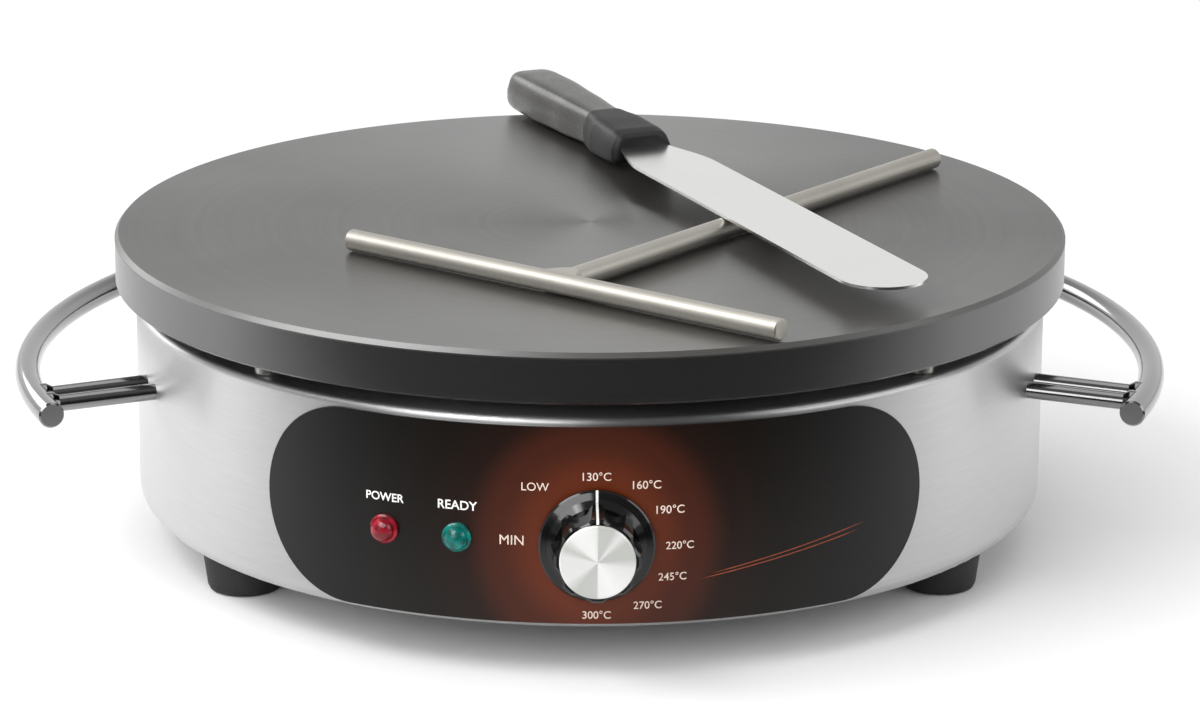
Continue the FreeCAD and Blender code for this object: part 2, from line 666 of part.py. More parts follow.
def thermostat_bracket():
    """Bent sheet bridge that holds the thermostat to the drum's inside."""
    height = 30.0
    low = KNOB_Z - height / 2
    front = Part.makeBox(76, 1.5, height, Vector(-38, -177.6, low))
    legs = [Part.makeBox(1.5, 20, height, Vector(x, -196, low)) for x in (-38, 36.5)]
    bridge = fuse([front] + legs)
    bridge = bridge.common(Part.makeCylinder(SHELL_R - SHELL_T - 0.02, 60, Vector(0, 0, 20)))
    return bridge.cut(Part.makeCylinder(BUSHING_R + 0.1, 30, Vector(0, -160, KNOB_Z), Vector(0, -1, 0)))


def capillary_tube():
    """Thin tube from the thermostat, over the reflector's rim, to the sensing bulb."""
    curve = Part.BSplineCurve()
    curve.interpolate([
        Vector(10, -163, KNOB_Z + 23), Vector(10, -163.5, 88), Vector(12, -166, 101), Vector(20, -164.5, 112),
        Vector(32, -152, 114.6), Vector(42, -136, 114.9), Vector(46, -124, 118), Vector(42, -120, ELEMENT_Z),
        Vector(36.35, -120, ELEMENT_Z)])
    path = Part.Wire(curve.toShape())
    start = path.Edges[0].Vertexes[0].Point
    profile = Part.Wire(Part.makeCircle(1.0, start, path.Edges[0].tangentAt(path.Edges[0].FirstParameter)))
    return path.makePipeShell([profile], True, False)


def sensing_bulb():
    """Straight sensing bulb with rounded shoulders, across the front under the plate."""
    bulb = revolve([(0, 0), (1.6, 0), (3, 1.8), (3, 70.2), (1.6, 72), (0, 72)])
    return aim(bulb, Vector(-36, -120, ELEMENT_Z), Vector(1, 0, 0))


def bulb_clips():
    """Two saddle clips that hold the bulb to the plate."""
    clips = []
    for x in (-22, 16):
        saddle = Part.makeCylinder(4.0, 6, Vector(x, -120, ELEMENT_Z), Vector(1, 0, 0))
        ears = Part.makeBox(6, 20, 1.0, Vector(x, -130, PLATE_WEB_Z - 1.0))
        clip = fuse([saddle, ears]).cut(Part.makeCylinder(3.02, 8, Vector(x - 1, -120, ELEMENT_Z), Vector(1, 0, 0)))
        clips.append(clip.common(Part.makeBox(6, 30, 20, Vector(x, -135, PLATE_WEB_Z - 20))))
    return clips


def lamp_lens():
    """Domed lens with a stepped rim, drawn along +Z from the panel."""
    return revolve([(0, 0), (LAMP_RIM_R, 0), (LAMP_RIM_R, 1.1), (LAMP_RIM_R - 0.6, 1.7), (5.0, 1.8), (4.7, 3.2),
                    (4.0, 4.4), (2.6, 5.3), (1.2, 5.7), (0, 5.8)])


def lamp_body():
    """Lamp housing behind the lens, with two tabs at the back."""
    housing = revolve([(0, -22), (3.6, -22), (LAMP_BODY_R, -20.6), (LAMP_BODY_R, 0), (0, 0)])
    tabs = [Part.makeBox(0.8, 2.8, 7, Vector(x, -1.4, -28.5)) for x in (-2.4, 1.6)]
    return fuse([housing] + tabs)


def lamp_nut():
    """Spring nut that grips the lamp housing behind the shell."""
    return hex_nut(14, 2.4, LAMP_BODY_R)


def limit_thermostat():
    """Safety cut-out on the underside of the shield, with two fixing ears."""
    x, y = 58.0, -44.0
    flange = Part.makeBox(34, 12, 1, Vector(x - 17, y - 6, SHIELD_Z - 1))
    can = Part.makeCylinder(8, 11, Vector(x, y, SHIELD_Z - 12))
    tabs = [Part.makeBox(0.8, 6.3, 8, Vector(x + side, y - 3.15, SHIELD_Z - 19)) for side in (-5.4, 4.6)]
    return fuse([flange, can] + tabs)


def terminal_block():
    """Three-way ceramic terminal block with screw wells and wire holes."""
    z = SHELL_BOTTOM + SHELL_T + BASE_T
    block = Part.makeBox(42, 22, 18, Vector(-21, 78, z + 0.8))
    tools = []
    for x in (-13, 0, 13):
        tools.append(Part.makeCylinder(2.6, 7, Vector(x, 84, z + 11.8)))
        tools.append(Part.makeCylinder(2.6, 7, Vector(x, 94, z + 11.8)))
        tools.append(Part.makeCylinder(1.9, 24, Vector(x, 77, z + 6.8), Vector(0, 1, 0)))
    block = cut_all(block, tools)
    foot = Part.makeBox(54, 8, 3, Vector(-27, 85, z))
    return fuse([block, foot])


def earth_stud():
    """Earth screw through the base plate with its tab ring."""
    z = SHELL_BOTTOM + SHELL_T
    screw = Part.makeCylinder(2.5, 15, Vector(46, 128, z))
    head = Part.makeCylinder(4.2, 1.1, Vector(46, 128, z - 1.1))
    return fuse([screw, head])


def earth_nut():
    """Nut that clamps the earth screw."""
    return aim(hex_nut(8, 4, 2.5), Vector(46, 128, SHELL_BOTTOM + SHELL_T + BASE_T + 2.2), Vector(0, 0, 1))


def cable_gland():
    """Threaded inlet body with a hexagon shoulder outside the drum."""
    seat = SHELL_R
    shoulder = hex_nut(22, 7, GLAND_BORE_R)
    thread = tube(GLAND_THREAD_R, GLAND_BORE_R, 14)
    nose = tube(8.6, GLAND_BORE_R, 3)
    shoulder.translate(Vector(0, 0, 14))
    nose.translate(Vector(0, 0, 21))
    body = fuse([thread, shoulder, nose])
    return aim(body, Vector(0, seat - 14, GLAND_Z), Vector(0, 1, 0))


def gland_cap():
    """Domed clamping cap of the inlet, with grip flats and a round mouth."""
    start = SHELL_R + 10.1
    depth = GLAND_REACH - start
    cap = revolve([(GLAND_BORE_R, 0), (10.6, 0), (10.6, depth - 5), (9.2, depth - 1.6), (6.6, depth),
                   (GLAND_BORE_R, depth)])
    flats = hex_nut(20, depth * 2, GLAND_BORE_R)
    return aim(cap.common(flats), Vector(0, start, GLAND_Z), Vector(0, 1, 0))


def gland_locknut():
    """Flat nut inside the drum on the inlet's thread."""
    return aim(hex_nut(22, 4, GLAND_THREAD_R), Vector(0, SHELL_R - SHELL_T - 4.5, GLAND_Z), Vector(0, 1, 0))


def wire_run(points, radius=1.4):
    """One insulated wire through a list of points."""
    curve = Part.BSplineCurve()
    curve.interpolate([Vector(*point) for point in points])
    path = Part.Wire(curve.toShape())
    start = path.Edges[0].Vertexes[0].Point
    profile = Part.Wire(Part.makeCircle(radius, start, path.Edges[0].tangentAt(path.Edges[0].FirstParameter)))
    return path.makePipeShell([profile], True, False)


def internal_wires():
    """Wires between the terminal block, the thermostat and the element ends."""
    wire_z = SHELL_BOTTOM + SHELL_T + BASE_T + 6.8
    feet = all_element_feet()
    runs = []
    for foot, x in ((feet[2], -13), (feet[3], 13)):
        runs.append([(foot.x, foot.y, ELEMENT_FOOT_Z - 14.4), (foot.x, foot.y - 6, 48),
                     (x, 70, wire_z + 4), (x, 77.6, wire_z)])
    for x, rise in ((-10.9, -10), (10.9, -10)):
        runs.append([(x, -141.6, KNOB_Z + rise), (x, -128, KNOB_Z + rise - 4), (x * 0.6, 0, 34),
                     (x * 0.3, 60, wire_z + 9), (x * 0.2, 70, wire_z + 12)])
    return [wire_run(points) for points in runs]


def spreader_placement():
    """Where the rake lies on the plate."""
    height = PLATE_TOP + SPREADER_GAP + SPREADER_R
    return FreeCAD.Placement(Vector(SPREADER_X, SPREADER_Y, height),
                             FreeCAD.Rotation(Vector(0, 0, 1), SPREADER_TURN))


def rod(radius, length, edge=0.6):
    """Round rod from the origin along +Z with broken end edges."""
    return revolve([(0, 0), (radius - edge, 0), (radius, edge), (radius, length - edge), (radius - edge, length),
                    (0, length)])


def spreader_bar():
    """Crossbar of the rake."""
    return aim(rod(SPREADER_R, SPREADER_BAR_L), Vector(-SPREADER_BAR_L / 2, 0, 0), Vector(1, 0, 0))


def spreader_stem(bar):
    """Handle rod of the rake with the weld fillet that runs into the crossbar."""
    stem = aim(rod(SPREADER_R, SPREADER_STEM_L), Vector(0, 0, 0), Vector(0, 1, 0))
    low = 0.5
    weld = Part.makeCone(9.5, SPREADER_R, 9.0, Vector(0, low, 0), Vector(0, 1, 0))
    slab = Part.makeBox(30, 30, 2 * SPREADER_R, Vector(-15, 0, -SPREADER_R))
    stem = fuse([stem, weld.common(slab)]).cut(bar)
    return max(stem.Solids, key=lambda solid: solid.CenterOfMass.y)


def spatula_placement():
    """Where the spatula lies: across the rake, with its handle over the plate's back edge."""
    turn = math.radians(SPATULA_TURN)
    base = Vector(-math.sin(turn), math.cos(turn), 0) * SPATULA_OFFSET
    return FreeCAD.Placement(base, FreeCAD.Rotation(Vector(0, 0, 1), SPATULA_TURN))


def spatula_blade():
    """Thin round-tipped blade with a narrow tang."""
    low = PLATE_TOP + 2 * SPREADER_GAP + 2 * SPREADER_R
    root = BLADE_ROOT_W / 2
    wide = BLADE_W / 2
    round_x = BLADE_TIP - wide
    edges = []
    for side in (1, -1):
        start = Vector(BLADE_ROOT, side * root, low)
        shoulder = Part.BSplineCurve()
        shoulder.interpolate(Points=[start, Vector(BLADE_WIDE, side * wide, low)],
                             InitialTangent=Vector(1, 0, 0), FinalTangent=Vector(1, 0, 0))
        straight = Part.makeLine(Vector(BLADE_WIDE, side * wide, low), Vector(round_x, side * wide, low))
        edges += [shoulder.toShape(), straight]
    edges.append(Part.Arc(Vector(round_x, wide, low), Vector(BLADE_TIP, 0, low),
                          Vector(round_x, -wide, low)).toShape())
    edges.append(Part.makeLine(Vector(BLADE_ROOT, -root, low), Vector(BLADE_ROOT, root, low)))
    outline = Part.Wire(Part.__sortEdges__(edges))
    blade = Part.Face(outline).extrude(Vector(0, 0, BLADE_T))
    tang = Part.makeBox(TANG_L, TANG_W, BLADE_T, Vector(BLADE_ROOT - TANG_L, -TANG_W / 2, low))
    return fuse([blade, tang])


def oval_wire(x, width, height, z):
    """Rounded-box section across the handle at a station along it."""
    points = []
    for step in range(24):
        turn = 2 * math.pi * step / 24
        c = math.cos(turn)
        s = math.sin(turn)
        points.append(Vector(x, math.copysign(abs(c) ** GRIP_SQUARENESS, c) * width / 2,
                             z + math.copysign(abs(s) ** GRIP_SQUARENESS, s) * height / 2))
    curve = Part.BSplineCurve()
    curve.interpolate(points, True)
    return Part.Wire(curve.toShape())


def blend(x, stations):
    """Width and height at a station, eased between the listed (x, width, height) stations."""
    for (x0, w0, h0), (x1, w1, h1) in zip(stations, stations[1:]):
        if x <= x1:
            share = (x - x0) / (x1 - x0)
            ease = share * share * (3 - 2 * share)
            return w0 + (w1 - w0) * ease, h0 + (h1 - h0) * ease
    return stations[-1][1], stations[-1][2]


def handle_loft(stations, count, rounding, round_start):
    """Smooth solid through even sections, with one end rounded off over a given length."""
    first = stations[0][0]
    last = stations[-1][0]
    middle = PLATE_TOP + SPREADER_GAP + 9.8
    wires = []
    for step in range(count + 1):
        x = first + (last - first) * step / count
        width, height = blend(x, stations)
        depth = x - first if round_start else last - x
        if depth < rounding:
            share = 1 - depth / rounding
            fade = math.sqrt(max(1 - share * share, 0.1))
            width *= fade
            height *= fade
        wires.append(oval_wire(x, width, height, middle))
    return Part.makeLoft(wires, True, False, False, 3)


def spatula_handle(blade):
    """Moulded grip, fuller in the palm and narrower at the bolster."""
    grip = handle_loft([(-213.0, 25.0, 17.0), (-180.0, 27.0, 19.0), (BOLSTER_START, 21.0, 17.0)], 26, 12.0, True)
    return grip.cut(blade)


def spatula_bolster(blade):
    """Flared bolster between the grip and the blade."""
    bolster = handle_loft([(BOLSTER_START, 21.0, 17.0), (-100.0, 28.0, 17.0), (-75.6, 29.0, 13.0)], 14, 7.0, False)
    return bolster.cut(blade)


def build_plate_group():
    """Plate, heating elements and everything hung under them."""
    export("cooking_plate", cooking_plate())
    export("heating_element_outer", element(OUTER_RING_R, OUTER_RING_GAP))
    export("heating_element_inner", element(INNER_RING_R, INNER_RING_GAP))
    export("element_terminals", *element_terminals())
    export("element_clamp", element_clamp())
    export("clamp_studs", *clamp_studs())
    export("clamp_nuts", *stud_nuts(CLAMP_TOP - CLAMP_T - M6_NUT_H))
    export("stud_spacers", *stud_spacers())
    export("heat_reflector", dish(REFLECTOR_R, REFLECTOR_Z, 7.0))
    export("insulation_blanket", blanket())
    export("heat_shield", dish(SHIELD_R, SHIELD_Z, 7.0))
    export("shield_nuts", *stud_nuts(SHIELD_Z - M6_NUT_H))
    export("plate_standoffs", *standoffs())
    export("plate_screws", *plate_screws())


def build_body_group():
    """Shell, base, feet and handles."""
    export("body_shell", body_shell())
    export("base_plate", base_plate())
    export("base_screws", *[aim(pan_screw(3.6, 2.2, 1.85, 7), polar(BASE_SCREW_PITCH_R, angle, SHELL_BOTTOM),
                                Vector(0, 0, 1)) for angle in BASE_SCREW_ANGLES])
    for name, angle in FOOT_ANGLES.items():
        export(name, foot(angle))
    export("foot_washers", *at_feet(tube(6.6, 2.7, 1.2), 7.8))
    export("foot_screws", *at_feet(pan_screw(4.6, 3.2, 2.5, 21), 7.8))
    export("foot_nuts", *at_feet(hex_nut(8, 4, 2.5), SHELL_BOTTOM + SHELL_T))
    for name, side in (("left", -1), ("right", 1)):
        bar = handle_bar(side)
        export("handle_" + name + "_bar", bar)
        export("handle_" + name + "_posts", *handle_posts(side, bar))
    export("handle_pads", *post_pads())
    export("handle_nuts", *post_nuts())


def build_control_group():
    """Panel, knob, thermostat and lamps."""
    export("control_panel", control_panel())
    export("thermostat_knob", facing_front(knob_shape(), KNOB_BACK_Y))
    export("knob_cap", knob_cap())
    export("thermostat_shaft", thermostat_shaft())
    export("thermostat_body", thermostat_body())
    export("thermostat_bracket", thermostat_bracket())
    export("bushing_nut", facing_front(hex_nut(14, 2.4, BUSHING_R), -SHELL_R - PANEL_T - 0.05))
    export("capillary_tube", capillary_tube())
    export("sensing_bulb", sensing_bulb())
    export("bulb_clips", *bulb_clips())
    face = SHELL_R + PANEL_T + 0.05
    for name, angle in LAMP_ANGLES.items():
        export(name, on_shell(lamp_lens(), angle, LAMP_Z, face))
    export("lamp_bodies", *[on_shell(lamp_body(), angle, LAMP_Z, face) for angle in LAMP_ANGLES.values()])
    export("lamp_nuts", *[on_shell(lamp_nut(), angle, LAMP_Z, SHELL_R - SHELL_T - 2.7)
                          for angle in LAMP_ANGLES.values()])
    export("limit_thermostat", limit_thermostat())
    export("terminal_block", terminal_block())
    export("earth_stud", earth_stud())
    export("earth_nut", earth_nut())
    export("internal_wires", *internal_wires())
    export("cable_gland", cable_gland())
    export("gland_cap", gland_cap())
    export("gland_locknut", gland_locknut())


def build_tools_group():
    """Rake spreader and spatula."""
    bar = spreader_bar()
    stem = spreader_stem(bar)
    for name, shape in (("spreader_bar", bar), ("spreader_stem", stem)):
        shape.Placement = spreader_placement().multiply(shape.Placement)
        export(name, shape)
    blade = spatula_blade()
    pieces = (("spatula_blade", blade), ("spatula_handle", spatula_handle(blade)),
              ("spatula_bolster", spatula_bolster(blade)))
    for name, shape in pieces:
        shape.Placement = spatula_placement().multiply(shape.Placement)
        export(name, shape)


def main():
    """Write every node."""
    os.makedirs("parts", exist_ok=True)
    build_plate_group()
    build_body_group()
    build_control_group()
    build_tools_group()


main()
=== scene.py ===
"""Dresses the electric crepe maker: finishes, panel print, studio and camera."""

from __future__ import annotations

import json
import logging
import math
from collections.abc import Sequence
from dataclasses import dataclass, field
from enum import Enum
from typing import Any

import bpy
from mathutils import Matrix, Vector

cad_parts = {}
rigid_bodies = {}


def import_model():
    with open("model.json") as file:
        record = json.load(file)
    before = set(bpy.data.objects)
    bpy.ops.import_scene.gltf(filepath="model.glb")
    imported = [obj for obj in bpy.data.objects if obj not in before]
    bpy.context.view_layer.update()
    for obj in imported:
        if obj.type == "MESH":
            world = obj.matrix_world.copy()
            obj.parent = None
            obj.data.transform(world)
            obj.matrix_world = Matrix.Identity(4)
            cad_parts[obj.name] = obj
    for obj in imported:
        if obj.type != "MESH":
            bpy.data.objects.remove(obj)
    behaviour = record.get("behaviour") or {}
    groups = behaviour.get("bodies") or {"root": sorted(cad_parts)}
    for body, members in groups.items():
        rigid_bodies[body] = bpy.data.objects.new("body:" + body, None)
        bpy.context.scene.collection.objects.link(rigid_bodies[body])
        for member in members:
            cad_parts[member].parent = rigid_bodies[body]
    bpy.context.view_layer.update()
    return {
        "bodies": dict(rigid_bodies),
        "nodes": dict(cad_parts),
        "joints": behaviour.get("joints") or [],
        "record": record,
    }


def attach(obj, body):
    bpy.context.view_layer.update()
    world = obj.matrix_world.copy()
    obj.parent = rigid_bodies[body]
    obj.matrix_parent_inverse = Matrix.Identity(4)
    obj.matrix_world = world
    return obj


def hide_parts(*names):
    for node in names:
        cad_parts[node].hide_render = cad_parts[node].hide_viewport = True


LOG = logging.getLogger("crepe_maker")
MM = 0.001
MM_IN_METRE = 1000
QUARTER_TURN = 0.25
# Nearly all of a noise texture's values lie between these two
NOISE_LOW = 0.3
NOISE_HIGH = 0.7
BLOTCH_IN_GRAINS = 18


def linear(hex_colour: str) -> tuple[float, float, float, float]:
    """Turn an sRGB hex colour to linear RGBA by the standard curve.

    Args:
        hex_colour: Six hex digits with a leading hash.

    Returns:
        Linear red, green, blue and an alpha of one.
    """
    channels = [int(hex_colour[i:i + 2], 16) / 255 for i in (1, 3, 5)]
    parts = [c / 12.92 if c <= 0.04045 else ((c + 0.055) / 1.055) ** 2.4 for c in channels]
    return (parts[0], parts[1], parts[2], 1.0)


def add_node(tree: bpy.types.NodeTree, kind: str, inputs: dict[Any, Any] | None = None,
             **settings: Any) -> bpy.types.Node:
    """Add one shader node with its settings, values and links.

    Args:
        tree: Node tree that gets the node.
        kind: Blender's node type.
        inputs: Socket name or index to a value, or to the output socket that feeds it.
        settings: Attributes of the node.

    Returns:
        The new node.
    """
    node = tree.nodes.new(kind)
    for name, value in settings.items():
        setattr(node, name, value)
    for key, value in (inputs or {}).items():
        if isinstance(value, bpy.types.NodeSocket):
            tree.links.new(value, node.inputs[key])
        else:
            node.inputs[key].default_value = value
    return node


def set_ramp(ramp: bpy.types.Node, stops: Sequence[tuple[float, str]]) -> None:
    """Give a colour ramp its stops.

    Args:
        ramp: The ramp node.
        stops: Position and hex colour of each stop, in order.
    """
    elements = ramp.color_ramp.elements
    while len(elements) < len(stops):
        elements.new(0.5)
    for element, (place, colour) in zip(elements, stops):
        element.position = place
        element.color = linear(colour)


@dataclass(frozen=True)
class Finish:
    """What every surface has: a base colour, a gloss and the way both vary.

    Attributes:
        name: Material name, after what the real one is.
        colour: Base colour in sRGB hex.
        shade: Colour of the darker patches.
        roughness: Middle roughness.
        spread: How far the roughness strays from its middle.
        metallic: One for bare metal.
        ior: Index of refraction, used where the surface isn't metal.
        grain_mm: Size of the surface grain.
        bump_mm: Height of the surface grain.
        coat: Weight of a clear top layer.
    """

    name: str
    colour: str
    shade: str
    roughness: float
    spread: float = 0.05
    metallic: float = 0.0
    ior: float = 1.5
    grain_mm: float = 0.8
    bump_mm: float = 0.02
    coat: float = 0.0

    def build(self) -> bpy.types.Material:
        """Make the material.

        Returns:
            The finished material.
        """
        material = bpy.data.materials.new(self.name)
        material.use_nodes = True
        tree = material.node_tree
        tree.nodes.clear()
        output = add_node(tree, "ShaderNodeOutputMaterial")
        shader = add_node(tree, "ShaderNodeBsdfPrincipled",
                          {"Metallic": self.metallic, "Coat Weight": self.coat})
        if self.metallic < 1:
            shader.inputs["IOR"].default_value = self.ior
        tree.links.new(shader.outputs["BSDF"], output.inputs["Surface"])
        place = add_node(tree, "ShaderNodeTexCoord").outputs["Object"]
        self.dress(tree, shader, place)
        return material

    def grain(self, tree: bpy.types.NodeTree, place: bpy.types.NodeSocket, size_mm: float,
              detail: float = 4.0) -> bpy.types.NodeSocket:
        """Noise of a real size.

        Args:
            tree: Node tree.
            place: Coordinates in metres.
            size_mm: Size of one blotch.
            detail: Octaves of finer noise.

        Returns:
            The noise value.
        """
        noise = add_node(tree, "ShaderNodeTexNoise",
                         {"Vector": place, "Scale": MM_IN_METRE / size_mm, "Detail": detail})
        return noise.outputs["Fac"]

    def spread_between(self, tree: bpy.types.NodeTree, value: bpy.types.NodeSocket, low: float,
                       high: float) -> bpy.types.NodeSocket:
        """Map a noise value to a range.

        Args:
            tree: Node tree.
            value: Noise value.
            low: Result at the noise's low end.
            high: Result at its high end.

        Returns:
            The mapped value.
        """
        mapped = add_node(tree, "ShaderNodeMapRange",
                          {"Value": value, "From Min": NOISE_LOW, "From Max": NOISE_HIGH, "To Min": low,
                           "To Max": high})
        return mapped.outputs["Result"]

    def vary_gloss(self, tree: bpy.types.NodeTree, shader: bpy.types.Node,
                   value: bpy.types.NodeSocket) -> None:
        """Let the roughness stray to both sides of its middle.

        Args:
            tree: Node tree.
            shader: Surface shader.
            value: Pattern value.
        """
        rough = self.spread_between(tree, value, self.roughness - self.spread, self.roughness + self.spread)
        tree.links.new(rough, shader.inputs["Roughness"])

    def tint(self, tree: bpy.types.NodeTree, shader: bpy.types.Node, value: bpy.types.NodeSocket) -> None:
        """Vary the base colour between the shade and the colour.

        Args:
            tree: Node tree.
            shader: Surface shader.
            value: Pattern value.
        """
        ramp = add_node(tree, "ShaderNodeValToRGB", {"Fac": value})
        set_ramp(ramp, [(NOISE_LOW, self.shade), (NOISE_HIGH, self.colour)])
        tree.links.new(ramp.outputs["Color"], shader.inputs["Base Color"])

    def raise_grain(self, tree: bpy.types.NodeTree, shader: bpy.types.Node, value: bpy.types.NodeSocket,
                    height_mm: float) -> None:
        """Bump the surface by a pattern.

        Args:
            tree: Node tree.
            shader: Surface shader.
            value: Pattern value.
            height_mm: Height of the pattern.
        """
        bump = add_node(tree, "ShaderNodeBump",
                        {"Height": value, "Distance": height_mm * MM, "Strength": 1.0})
        tree.links.new(bump.outputs["Normal"], shader.inputs["Normal"])

    def draw_out_round(self, tree: bpy.types.NodeTree, shader: bpy.types.Node, axis: str, amount: Any,
                       turn: float = QUARTER_TURN) -> None:
        """Draw reflections out over scratches that run round an axis.

        Args:
            tree: Node tree.
            shader: Surface shader.
            axis: Axis that the scratches run round.
            amount: How far the reflections are drawn out, as a value or a socket.
            turn: A quarter turn draws them out across the scratches, and nought along them.
        """
        tangent = add_node(tree, "ShaderNodeTangent", direction_type="RADIAL", axis=axis)
        tree.links.new(tangent.outputs["Tangent"], shader.inputs["Tangent"])
        shader.inputs["Anisotropic Rotation"].default_value = turn
        if isinstance(amount, bpy.types.NodeSocket):
            tree.links.new(amount, shader.inputs["Anisotropic"])
        else:
            shader.inputs["Anisotropic"].default_value = amount

    def dress(self, tree: bpy.types.NodeTree, shader: bpy.types.Node, place: bpy.types.NodeSocket) -> None:
        """Add the pattern of this finish.

        Args:
            tree: Node tree.
            shader: Surface shader.
            place: Object coordinates in metres.
        """
        blotch = self.grain(tree, place, self.grain_mm * BLOTCH_IN_GRAINS, 3.0)
        fine = self.grain(tree, place, self.grain_mm)
        self.tint(tree, shader, blotch)
        self.vary_gloss(tree, shader, fine)
        self.raise_grain(tree, shader, fine, self.bump_mm)


class Brushing(Enum):
    """Which way the belt ran, as how many times finer the noise is along X, Y and Z."""

    ROUND_THE_DRUM = (1.0, 1.0, 60.0)
    ALONG_THE_BLADE = (1.0, 60.0, 60.0)


@dataclass(frozen=True)
class BrushedSteel(Finish):
    """Steel rubbed with a belt: long soft streaks that draw reflections out across them.

    The true scratches are too fine to show, so the streaks stand for bundles of them.

    Attributes:
        brushing: Which way the belt ran.
        streak_mm: Length of a streak.
        turn: Turn of the streaks about Z, in radians.
        draw_out: How far reflections are drawn out across the streaks.
        cloud_mm: Size of the clouds where the belt pressed harder.
    """

    brushing: Brushing = Brushing.ROUND_THE_DRUM
    streak_mm: float = 22.0
    turn: float = 0.0
    draw_out: float = 0.0
    cloud_mm: float = 60.0

    def dress(self, tree: bpy.types.NodeTree, shader: bpy.types.Node, place: bpy.types.NodeSocket) -> None:
        """Streak the colour, the gloss and the surface along the brushing.

        Args:
            tree: Node tree.
            shader: Surface shader.
            place: Object coordinates in metres.
        """
        mapping = add_node(tree, "ShaderNodeMapping", {"Vector": place, "Rotation": (0, 0, self.turn),
                                                       "Scale": self.brushing.value})
        streak = self.grain(tree, mapping.outputs["Vector"], self.streak_mm, 5.0)
        cloud = self.grain(tree, place, self.cloud_mm, 2.0)
        self.tint(tree, shader, streak)
        both = add_node(tree, "ShaderNodeMath", {0: streak, 1: cloud}, operation="ADD")
        mean = add_node(tree, "ShaderNodeMath", {0: both.outputs[0], 1: 0.5}, operation="MULTIPLY")
        self.vary_gloss(tree, shader, mean.outputs[0])
        self.raise_grain(tree, shader, streak, self.bump_mm)
        if self.draw_out:
            self.draw_out_round(tree, shader, "Z", self.draw_out)


@dataclass(frozen=True)
class TurnedCast(Finish):
    """Cast iron faced on a lathe and seasoned: faint rings and soft blotches, and a darker skin at the sides.

    The true feed marks are too fine to show, so the rings are drawn coarser.

    Attributes:
        side: Colour of the skin off the faced top.
        side_roughness: Middle roughness of that skin.
        side_spread: How far its roughness strays.
        draw_out: How far reflections on the top are drawn out along the rings.
        ring_mm: Width of a ring.
        ring_share: Share of the rings in the pattern, where the rest is clouds.
        cloud_mm: Size of the clouds.
        tones: Pattern values at which the shade and the colour are reached.
        face_z: Height in metres above which the plate is faced.
    """

    side: str = "#181818"
    side_roughness: float = 0.25
    side_spread: float = 0.02
    draw_out: float = 0.7
    ring_mm: float = 3.2
    ring_share: float = 0.3
    cloud_mm: float = 95.0
    tones: tuple[float, float] = (0.35, 0.65)
    face_z: float = 0.1335

    def dress(self, tree: bpy.types.NodeTree, shader: bpy.types.Node, place: bpy.types.NodeSocket) -> None:
        """Draw the lathe rings from the distance to the axis, and keep the sides darker and glossier.

        Args:
            tree: Node tree.
            shader: Surface shader.
            place: Object coordinates in metres.
        """
        axes = add_node(tree, "ShaderNodeSeparateXYZ", {"Vector": place})
        flat = add_node(tree, "ShaderNodeCombineXYZ", {"X": axes.outputs["X"], "Y": axes.outputs["Y"]})
        radius = add_node(tree, "ShaderNodeVectorMath", {0: flat.outputs["Vector"]}, operation="LENGTH")
        spiral = add_node(tree, "ShaderNodeTexNoise",
                          {"W": radius.outputs["Value"], "Scale": MM_IN_METRE / self.ring_mm, "Detail": 4.0},
                          noise_dimensions="1D")
        cloud = self.grain(tree, place, self.cloud_mm, 3.0)
        mixed = add_node(tree, "ShaderNodeMix",
                         {"Factor": self.ring_share, "A": cloud, "B": spiral.outputs["Fac"]})
        ramp = add_node(tree, "ShaderNodeValToRGB", {"Fac": mixed.outputs["Result"]})
        set_ramp(ramp, [(self.tones[0], self.shade), (self.tones[1], self.colour)])
        top = add_node(tree, "ShaderNodeMath", {0: axes.outputs["Z"], 1: self.face_z},
                       operation="GREATER_THAN")
        skin = add_node(tree, "ShaderNodeMix", {"Factor": top.outputs[0], "A": linear(self.side),
                                                "B": ramp.outputs["Color"]}, data_type="RGBA")
        tree.links.new(skin.outputs["Result"], shader.inputs["Base Color"])
        faced = self.spread_between(tree, mixed.outputs["Result"], self.roughness + self.spread,
                                    self.roughness - self.spread)
        fine = self.grain(tree, place, self.grain_mm)
        turned = self.spread_between(tree, fine, self.side_roughness - self.side_spread,
                                     self.side_roughness + self.side_spread)
        rough = add_node(tree, "ShaderNodeMix", {"Factor": top.outputs[0], "A": turned, "B": faced})
        tree.links.new(rough.outputs["Result"], shader.inputs["Roughness"])
        grit = add_node(tree, "ShaderNodeMix",
                        {"Factor": top.outputs[0], "A": fine, "B": spiral.outputs["Fac"]})
        self.raise_grain(tree, shader, grit.outputs["Result"], self.bump_mm)
        along = add_node(tree, "ShaderNodeMath", {0: top.outputs[0], 1: self.draw_out},
                         operation="MULTIPLY")
        self.draw_out_round(tree, shader, "Z", along.outputs[0], 0.0)


# Where round the disc a wedge of painted reflection, pale (True) or dim (False), begins or ends, as a share
# of a turn
PAINTED_REFLECTION_WEDGES = ((0.0, True), (0.09, True), (0.15, False), (0.245, False), (0.255, True), (0.47, True),
          (0.52, False), (0.6, False), (0.64, True), (0.68, False), (0.745, False), (0.755, True),
          (0.88, True), (0.93, False), (0.97, True))


